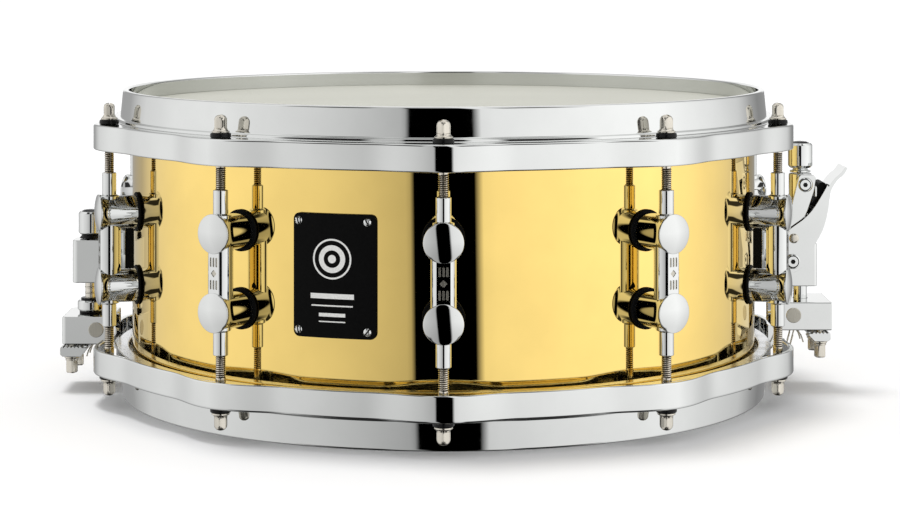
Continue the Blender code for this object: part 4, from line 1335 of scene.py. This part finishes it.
def add_lever():
    """The lever with its pivot hole, the rivets at the link's foot, and the rubber bumper."""
    inner, outer = LEVER_INNER, LEVER_OUTER
    solids = [softened(prism(outline, low, high), 0.5) for outline, low, high in (
        (cheek_outline(), inner, outer), (lip_outline(), -outer, outer),
        (cheek_outline(), -outer, -inner),
    )]
    hole = crosswise(PIVOT_BORE, -14, 14, PIVOT_X, PIVOT_Z)
    add("throwoff_lever_arm", fused(solids, [hole]), "throwoff_lever", "chrome",
        replaces=["strainer_lever"])
    rivet = lathe(rounded([
        (0, inner - 0.1), (2.8, inner - 0.1), (2.8, outer + 0.4, 0.4), (1.8, outer + 0.8, 1.5),
        (0, outer + 0.9),
    ], closed=False), 40)
    rivets = both_ways(rivet, LINK_FOOT_X, LINK_FOOT_Z)
    add("lever_rivets", joined(rivets), "throwoff_lever", "nickel", NICKEL)
    bumper = rounded([(213.3, 31.4, 1.2), (217.6, 32.0, 1.6), (216.9, 27.0, 4.0), (215.4, 21.6, 3.0),
                      (210.9, 16.4, 0.5), (209.3, 15.6, 0.5), (210.9, 19.6, 3.0), (212.9, 25.0, 3.0)])
    add("lever_bumper", softened(prism(bumper, -9.3, 9.3), 0.6), "throwoff_lever", "rubber")



# Butt plate


def butt_knob_mesh(low, high):
    """A knob with a short stepped foot, and the screw below it."""
    base, top = high - 14.9, high - 1.5
    profile = rounded([
        (0, low), (1.6, low, 0.3), (1.7, base - 0.2, 0.1), (4.6, base - 0.2, 0.1), (5.4, base, 0.3),
        (KNOB_RADIUS, base + 1.2, 0.6), *knob_top(top),
    ], closed=False)
    return moved(lathe(profile, 72), shift(BUTT_X))


def add_butt():
    """The butt plate at -X: housing, knob, clamp and stem."""
    side = -1
    add("butt_pad", turned_to(side, gasket_mesh("butt_gasket")), "drum_shell", "rubber",
        replaces=["butt_gasket"])
    (x0, x1), (y0, y1) = span("butt_housing", "x"), span("butt_housing", "y")
    z0, z1 = span("butt_housing", "z")
    near, far = -x1, -x0
    face = near + BASE_THICKNESS
    base = block((near, y0, z0), (face, y1, z1), corner=3.5, edge=0.6, along="X")
    bottom, top = z0 + 1.4, z1 - 8.3
    outline = rounded([(near + 2.4, -9, 0), (far, -9, 3.2), (far, 9, 3.2), (near + 2.4, 9, 0)], 6)
    tower = softened(prism(outline, bottom, top, "Z"), 0.7)
    bore = upright_bore(4.0, bottom, top, BUTT_X)
    add("butt_body", turned_to(side, fused([base, tower], [bore])), "drum_shell", "chrome",
        replaces=["butt_housing"])
    add_base_screws("butt", side, face, (z1 - BASE_SCREW_INSET, z0 + BASE_SCREW_INSET))
    add_butt_knob(side)
    block_top = add_butt_clamp(side)
    add_butt_stem(side, block_top)


def add_butt_knob(side):
    low, high = span("butt_knob", "z")
    knob = butt_knob_mesh(low, high)
    add("butt_tension_knob", turned_to(side, knob), "butt_knob", "chrome", replaces=["butt_knob"])
    add("butt_knob_cap", turned_to(side, knob_cap_mesh(high, BUTT_X)), "butt_knob", "rubber", BLACK_PLASTIC_AND_PAINTED_SHADE)
    cone = lathe(rounded([(2.0, high - 16.9, 0.2), (6.6, high - 16.9, 0.3), (4.9, high - 14.9, 0.5),
                          (2.0, high - 14.9, 0.2)]), 56, ring=True)
    add("butt_knob_washer", turned_to(side, moved(cone, shift(BUTT_X))), "butt_knob", "rubber", BLACK_PLASTIC_AND_PAINTED_SHADE)


def add_butt_clamp(side):
    """The clamp block with its jaw. Returns the height of the block's top."""
    x0, x1 = span("butt_clamp_block", "x")
    block_low = span("butt_clamp_block", "z")[0]
    block_top = block_low + 15.7
    half = span("butt_clamp_block", "y")[1]
    outline = rounded([(-x1, -half, 0.9), (-x0, -half, 2.4), (-x0, half, 2.4), (-x1, half, 0.9)], 6)
    body = softened(prism(outline, block_low, block_top, "Z"), 0.8)
    bore = upright_bore(SHAFT_BORE, block_low, block_top, BUTT_X)
    pin_at = (BUTT_X - 5.6, block_top - 7.3)
    add_clamp("butt", side, "butt_clamp", turned_to(side, fused([body], [bore])), pin_at)
    return block_top


def add_butt_stem(side, block_top):
    """The ribbed stem from block to housing, with a chrome collar between two black washers."""
    collar_low, collar_high = block_top + 1.2, block_top + 7.2
    stem_top = span("butt_clamp_block", "z")[1]
    bore, stem, rib_pitch = SHAFT_BORE, 3.2, 3.2
    profile = [(bore, collar_high - 1), (stem, collar_high - 1)]
    z = collar_high + 0.4
    while z < stem_top - 6:
        profile += [(stem, z), (3.45, z + 0.25), (3.45, z + 0.75), (stem, z + 1.0)]
        z += rib_pitch
    profile += [(stem, stem_top - 0.4), (2.9, stem_top), (bore, stem_top)]
    stem_mesh = moved(lathe(profile, 48, ring=True), shift(BUTT_X))
    add("butt_stem", turned_to(side, stem_mesh), "butt_clamp", "nickel")
    collar = lathe(rounded([
        (bore, collar_low, 0.2), (6.6, collar_low, 0.3), (7.5, collar_low + 0.9, 0.4),
        (7.5, collar_high - 0.9, 0.4), (6.6, collar_high, 0.3), (bore, collar_high, 0.2),
    ]), 64, ring=True)
    add("butt_collar", turned_to(side, moved(collar, shift(BUTT_X))), "butt_clamp", "chrome")
    washers = []
    for radius, low, high in ((6.4, block_top + 0.05, collar_low - 0.05),
                              (5.6, collar_high + 0.05, collar_high + 1.3)):
        outline = rounded([(bore, low, 0.2), (radius, low, 0.3), (radius, high, 0.3), (bore, high, 0.2)])
        washers.append(lathe(outline, 56, ring=True))
    add("butt_collar_washers", turned_to(side, moved(joined(washers), shift(BUTT_X))), "butt_clamp",
        "rubber", BLACK_PLASTIC_AND_PAINTED_SHADE)


# Studio


CAMERA_PLACE = (0.0, -1.376, 0.16275)
CAMERA_LENS = 96.2
CAMERA_SHIFT = (0.0072, -0.3447)
STUDIO_RADIUS = 1.4

# Light on the dome, as (degrees, level): azimuth from the camera towards +X, height from level.
# The roof and the backdrop are (share of the whole turn or height, level).
STRIP = (-11.15, 11.25)
STRIP_LEAN = 0.09
SOFTBOXES = [
    (-180, 0.36), (-150, 0.40), (-138, 0.46), (-121, 0.88), (-100, 1.03), (-77, 1.08), (-60, 0.97),
    (-45, 0.90), (-24, 0.72), (-13, 0.59), (STRIP[0] - 0.15, 0.57), (STRIP[0] + 0.15, 0.0),
    (STRIP[1] - 0.15, 0.0), (STRIP[1] + 0.15, 0.98), (17, 1.08), (57, 1.28), (74, 1.33), (99, 1.08),
    (119, 0.82), (131, 0.46), (140, 0.30), (180, 0.36),
]
HEIGHTS = [(-90, 0.03), (-62, 0.05), (-50, 0.72), (-24, 0.80), (-3, 1.0), (90, 1.0)]
FLAG_WIDTHS = [
    (-57, 0.0), (-52, 1.0), (-25, 1.0), (-21, 0.0), (21, 0.0), (25, 1.0), (52, 1.0), (57, 0.0),
]
FLAG_HEIGHTS = [
    (-66, 0.0), (-60, 0.96), (-30, 0.96), (-26, 0.0), (26, 0.0), (30, 0.96), (60, 0.96), (66, 0.0),
]
ROOF = [(0.0, 0.0), (0.77, 0.0), (0.80, 1.0), (1.0, 1.0)]
ROOF_LEVEL = 0.45
BACKDROP_LEVEL = 0.75
BACKDROP_WIDTH = [
    (0.0, BACKDROP_LEVEL), (0.06, BACKDROP_LEVEL), (0.09, 0.0), (0.91, 0.0), (0.94, BACKDROP_LEVEL),
]
BACKDROP_HEIGHT = [(0.0, 0.0), (0.503, 0.0), (0.515, 1.0), (1.0, 1.0)]
BRIGHTEST = 1.4
FLOOR_LIGHT = 0.80
FLOOR_SIZE = 12.0
PAPER = (0.93, 0.93, 0.935, 1)
SUN_LIGHT = 1.3
SUN_ANGLE = math.radians(16)
SUN_DIRECTION = Vector((0.12, -0.15, -1.0))


def math_node(tree, operation, *values):
    node = tree.nodes.new("ShaderNodeMath")
    node.operation = operation
    for socket, value in zip(node.inputs, values):
        if isinstance(value, bpy.types.NodeSocket):
            tree.links.new(value, socket)
        else:
            socket.default_value = value
    return node.outputs[0]


def level_ramp(tree, value, stops):
    node = tree.nodes.new("ShaderNodeValToRGB")
    tree.links.new(value, node.inputs["Fac"])
    elements = node.color_ramp.elements
    while len(elements) < len(stops):
        elements.new(1.0)
    for element, (place, level) in zip(elements, stops):
        element.position = place
        element.color = (level, level, level, 1.0)
    return node.outputs["Color"]


def shares(stops, half):
    """Stops in degrees, from -half to half, as shares of the whole."""
    return [((angle + half) / (2 * half), level) for angle, level in stops]


def placed(name, data):
    """A new object in the scene."""
    obj = bpy.data.objects.new(name, data)
    bpy.context.scene.collection.objects.link(obj)
    return obj


def make_soft_boxes():
    """A dome that only mirrors see: soft boxes all round, a dark gap at the front, dark below."""
    bm = bmesh.new()
    bmesh.ops.create_uvsphere(bm, u_segments=128, v_segments=64, radius=STUDIO_RADIUS)
    mesh = bpy.data.meshes.new("soft_boxes")
    bm.to_mesh(mesh)
    bm.free()
    mesh.shade_smooth()
    dome = placed("soft_boxes", mesh)
    for ray in ("camera", "diffuse", "transmission", "volume_scatter", "shadow"):
        setattr(dome, f"visible_{ray}", False)
    mesh.materials.append(glowing_material())


def glowing_material():
    """The dome's light: soft boxes, roof and backdrop, less the flags."""
    material = bpy.data.materials.new("soft_boxes")
    material.use_nodes = True
    tree = material.node_tree
    tree.nodes.remove(tree.nodes["Principled BSDF"])
    place = tree.nodes.new("ShaderNodeTexCoord").outputs["Object"]
    parts = tree.nodes.new("ShaderNodeSeparateXYZ")
    tree.links.new(place, parts.inputs[0])
    x, y, z = parts.outputs
    slope = math_node(tree, "ARCSINE", math_node(tree, "DIVIDE", z, STUDIO_RADIUS))
    azimuth = math_node(tree, "ARCTAN2", x, math_node(tree, "MULTIPLY", y, -1.0))
    leaning = math_node(tree, "MULTIPLY_ADD", slope, STRIP_LEAN, azimuth)
    share = math_node(tree, "MULTIPLY_ADD", leaning, 1 / math.tau, 0.5)
    dimmed = [(a, level / BRIGHTEST) for a, level in SOFTBOXES]
    ring = level_ramp(tree, share, shares(dimmed, 180))
    height = math_node(tree, "MULTIPLY_ADD", slope, 1 / math.pi, 0.5)
    dim = level_ramp(tree, height, shares(HEIGHTS, 90))
    roof = level_ramp(tree, height, ROOF)
    behind = level_ramp(tree, share, BACKDROP_WIDTH)
    above = level_ramp(tree, height, BACKDROP_HEIGHT)
    backdrop = math_node(tree, "MULTIPLY", behind, above)
    ceiling = math_node(tree, "MAXIMUM", backdrop, math_node(tree, "MULTIPLY", roof, ROOF_LEVEL))
    bright = math_node(tree, "MULTIPLY", math_node(tree, "MAXIMUM", ring, ceiling), dim)
    wide = level_ramp(tree, share, shares(FLAG_WIDTHS, 180))
    tall = level_ramp(tree, height, shares(FLAG_HEIGHTS, 90))
    unflagged = math_node(tree, "SUBTRACT", 1.0, math_node(tree, "MULTIPLY", wide, tall))
    total = math_node(tree, "MULTIPLY", bright, unflagged)
    glow = tree.nodes.new("ShaderNodeEmission")
    tree.links.new(total, glow.inputs["Color"])
    glow.inputs["Strength"].default_value = BRIGHTEST
    tree.links.new(glow.outputs[0], tree.nodes["Material Output"].inputs["Surface"])
    return material


def make_world():
    """Even light for everything that isn't a mirror."""
    world = bpy.data.worlds.new("studio")
    bpy.context.scene.world = world
    world.use_nodes = True
    tree = world.node_tree
    seen = tree.nodes.new("ShaderNodeLightPath").outputs["Is Camera Ray"]
    level = math_node(tree, "MULTIPLY_ADD", seen, 1.0 - FLOOR_LIGHT, FLOOR_LIGHT)
    tree.links.new(level, tree.nodes["Background"].inputs["Color"])


def make_floor():
    """Pale paper under the drum, clear from below so that the underside can be seen."""
    bm = bmesh.new()
    bmesh.ops.create_grid(bm, x_segments=24, y_segments=24, size=FLOOR_SIZE)
    mesh = bpy.data.meshes.new("floor")
    bm.to_mesh(mesh)
    bm.free()
    floor = placed("floor", mesh)
    floor.location.z = cad_low.z
    floor.visible_glossy = False
    nodes = Nodes("floor_paper")
    nodes.set(Base_Color=PAPER, Roughness=0.95, Specular_IOR_Level=0.0)
    from_below = nodes.add("ShaderNodeNewGeometry").outputs["Backfacing"]
    nodes.feed(nodes.shader.inputs["Alpha"], math_node(nodes.tree, "SUBTRACT", 1.0, from_below))
    mesh.materials.append(nodes.material)


def make_sun():
    """A big soft overhead light, a little behind and to the left."""
    data = bpy.data.lights.new("overhead", "SUN")
    data.energy = SUN_LIGHT
    data.angle = SUN_ANGLE
    light = placed("overhead", data)
    light.location = (0, 0, 1.5)
    light.rotation_euler = SUN_DIRECTION.to_track_quat("-Z", "Y").to_euler()
    light.visible_glossy = False


def make_camera():
    """A level camera whose lens is shifted down, so that upright lines stay upright."""
    data = bpy.data.cameras.new("camera")
    data.lens = CAMERA_LENS
    camera = placed("camera", data)
    camera.location = CAMERA_PLACE
    camera.rotation_euler = (math.radians(90), 0, 0)
    for name, value in zip(("shift_x", "shift_y"), CAMERA_SHIFT):
        driver = data.driver_add(name).driver
        place = driver.variables.new()
        place.name = "height"
        place.type = "TRANSFORMS"
        place.targets[0].id = camera
        place.targets[0].transform_type = "LOC_Z"
        driver.expression = f"{value} if abs(height - {CAMERA_PLACE[2]}) < 0.0001 else 0.0"
    bpy.context.scene.camera = camera


def main():
    add_shell()
    add_vent_grommet()
    add_head("coated_batter_head", 1, "batter_hoop_assembly", "coated_film", "batter_head")
    add_head("clear_snare_head", -1, "snare_hoop_assembly", "clear_film", "snare_head")
    add_flesh_hoop("batter_film_hoop", 1, "batter_hoop_assembly", "batter_flesh_hoop")
    add_flesh_hoop("snare_film_hoop", -1, "snare_hoop_assembly", "snare_flesh_hoop")
    add_hoop("cast_batter_hoop", 1, "batter_hoop_assembly", "batter_hoop")
    add_hoop("cast_snare_hoop", -1, "snare_hoop_assembly", "snare_hoop", gates=(-1, 1))
    add_lug_stations()
    add_badge()
    add_snare_wires()
    add_strainer()
    add_butt()
    add_cords("strainer", 1, 200.3, (195.8, -66.0), "strainer_clamp", -51.0, squashed=True)
    add_cords("butt", -1, 198.6, (194.4, -72.0), "butt_clamp", -59.0, squashed=False)
    make_soft_boxes()
    make_world()
    make_floor()
    make_sun()
    make_camera()
    bpy.context.scene.view_settings.view_transform = "Standard"


main()
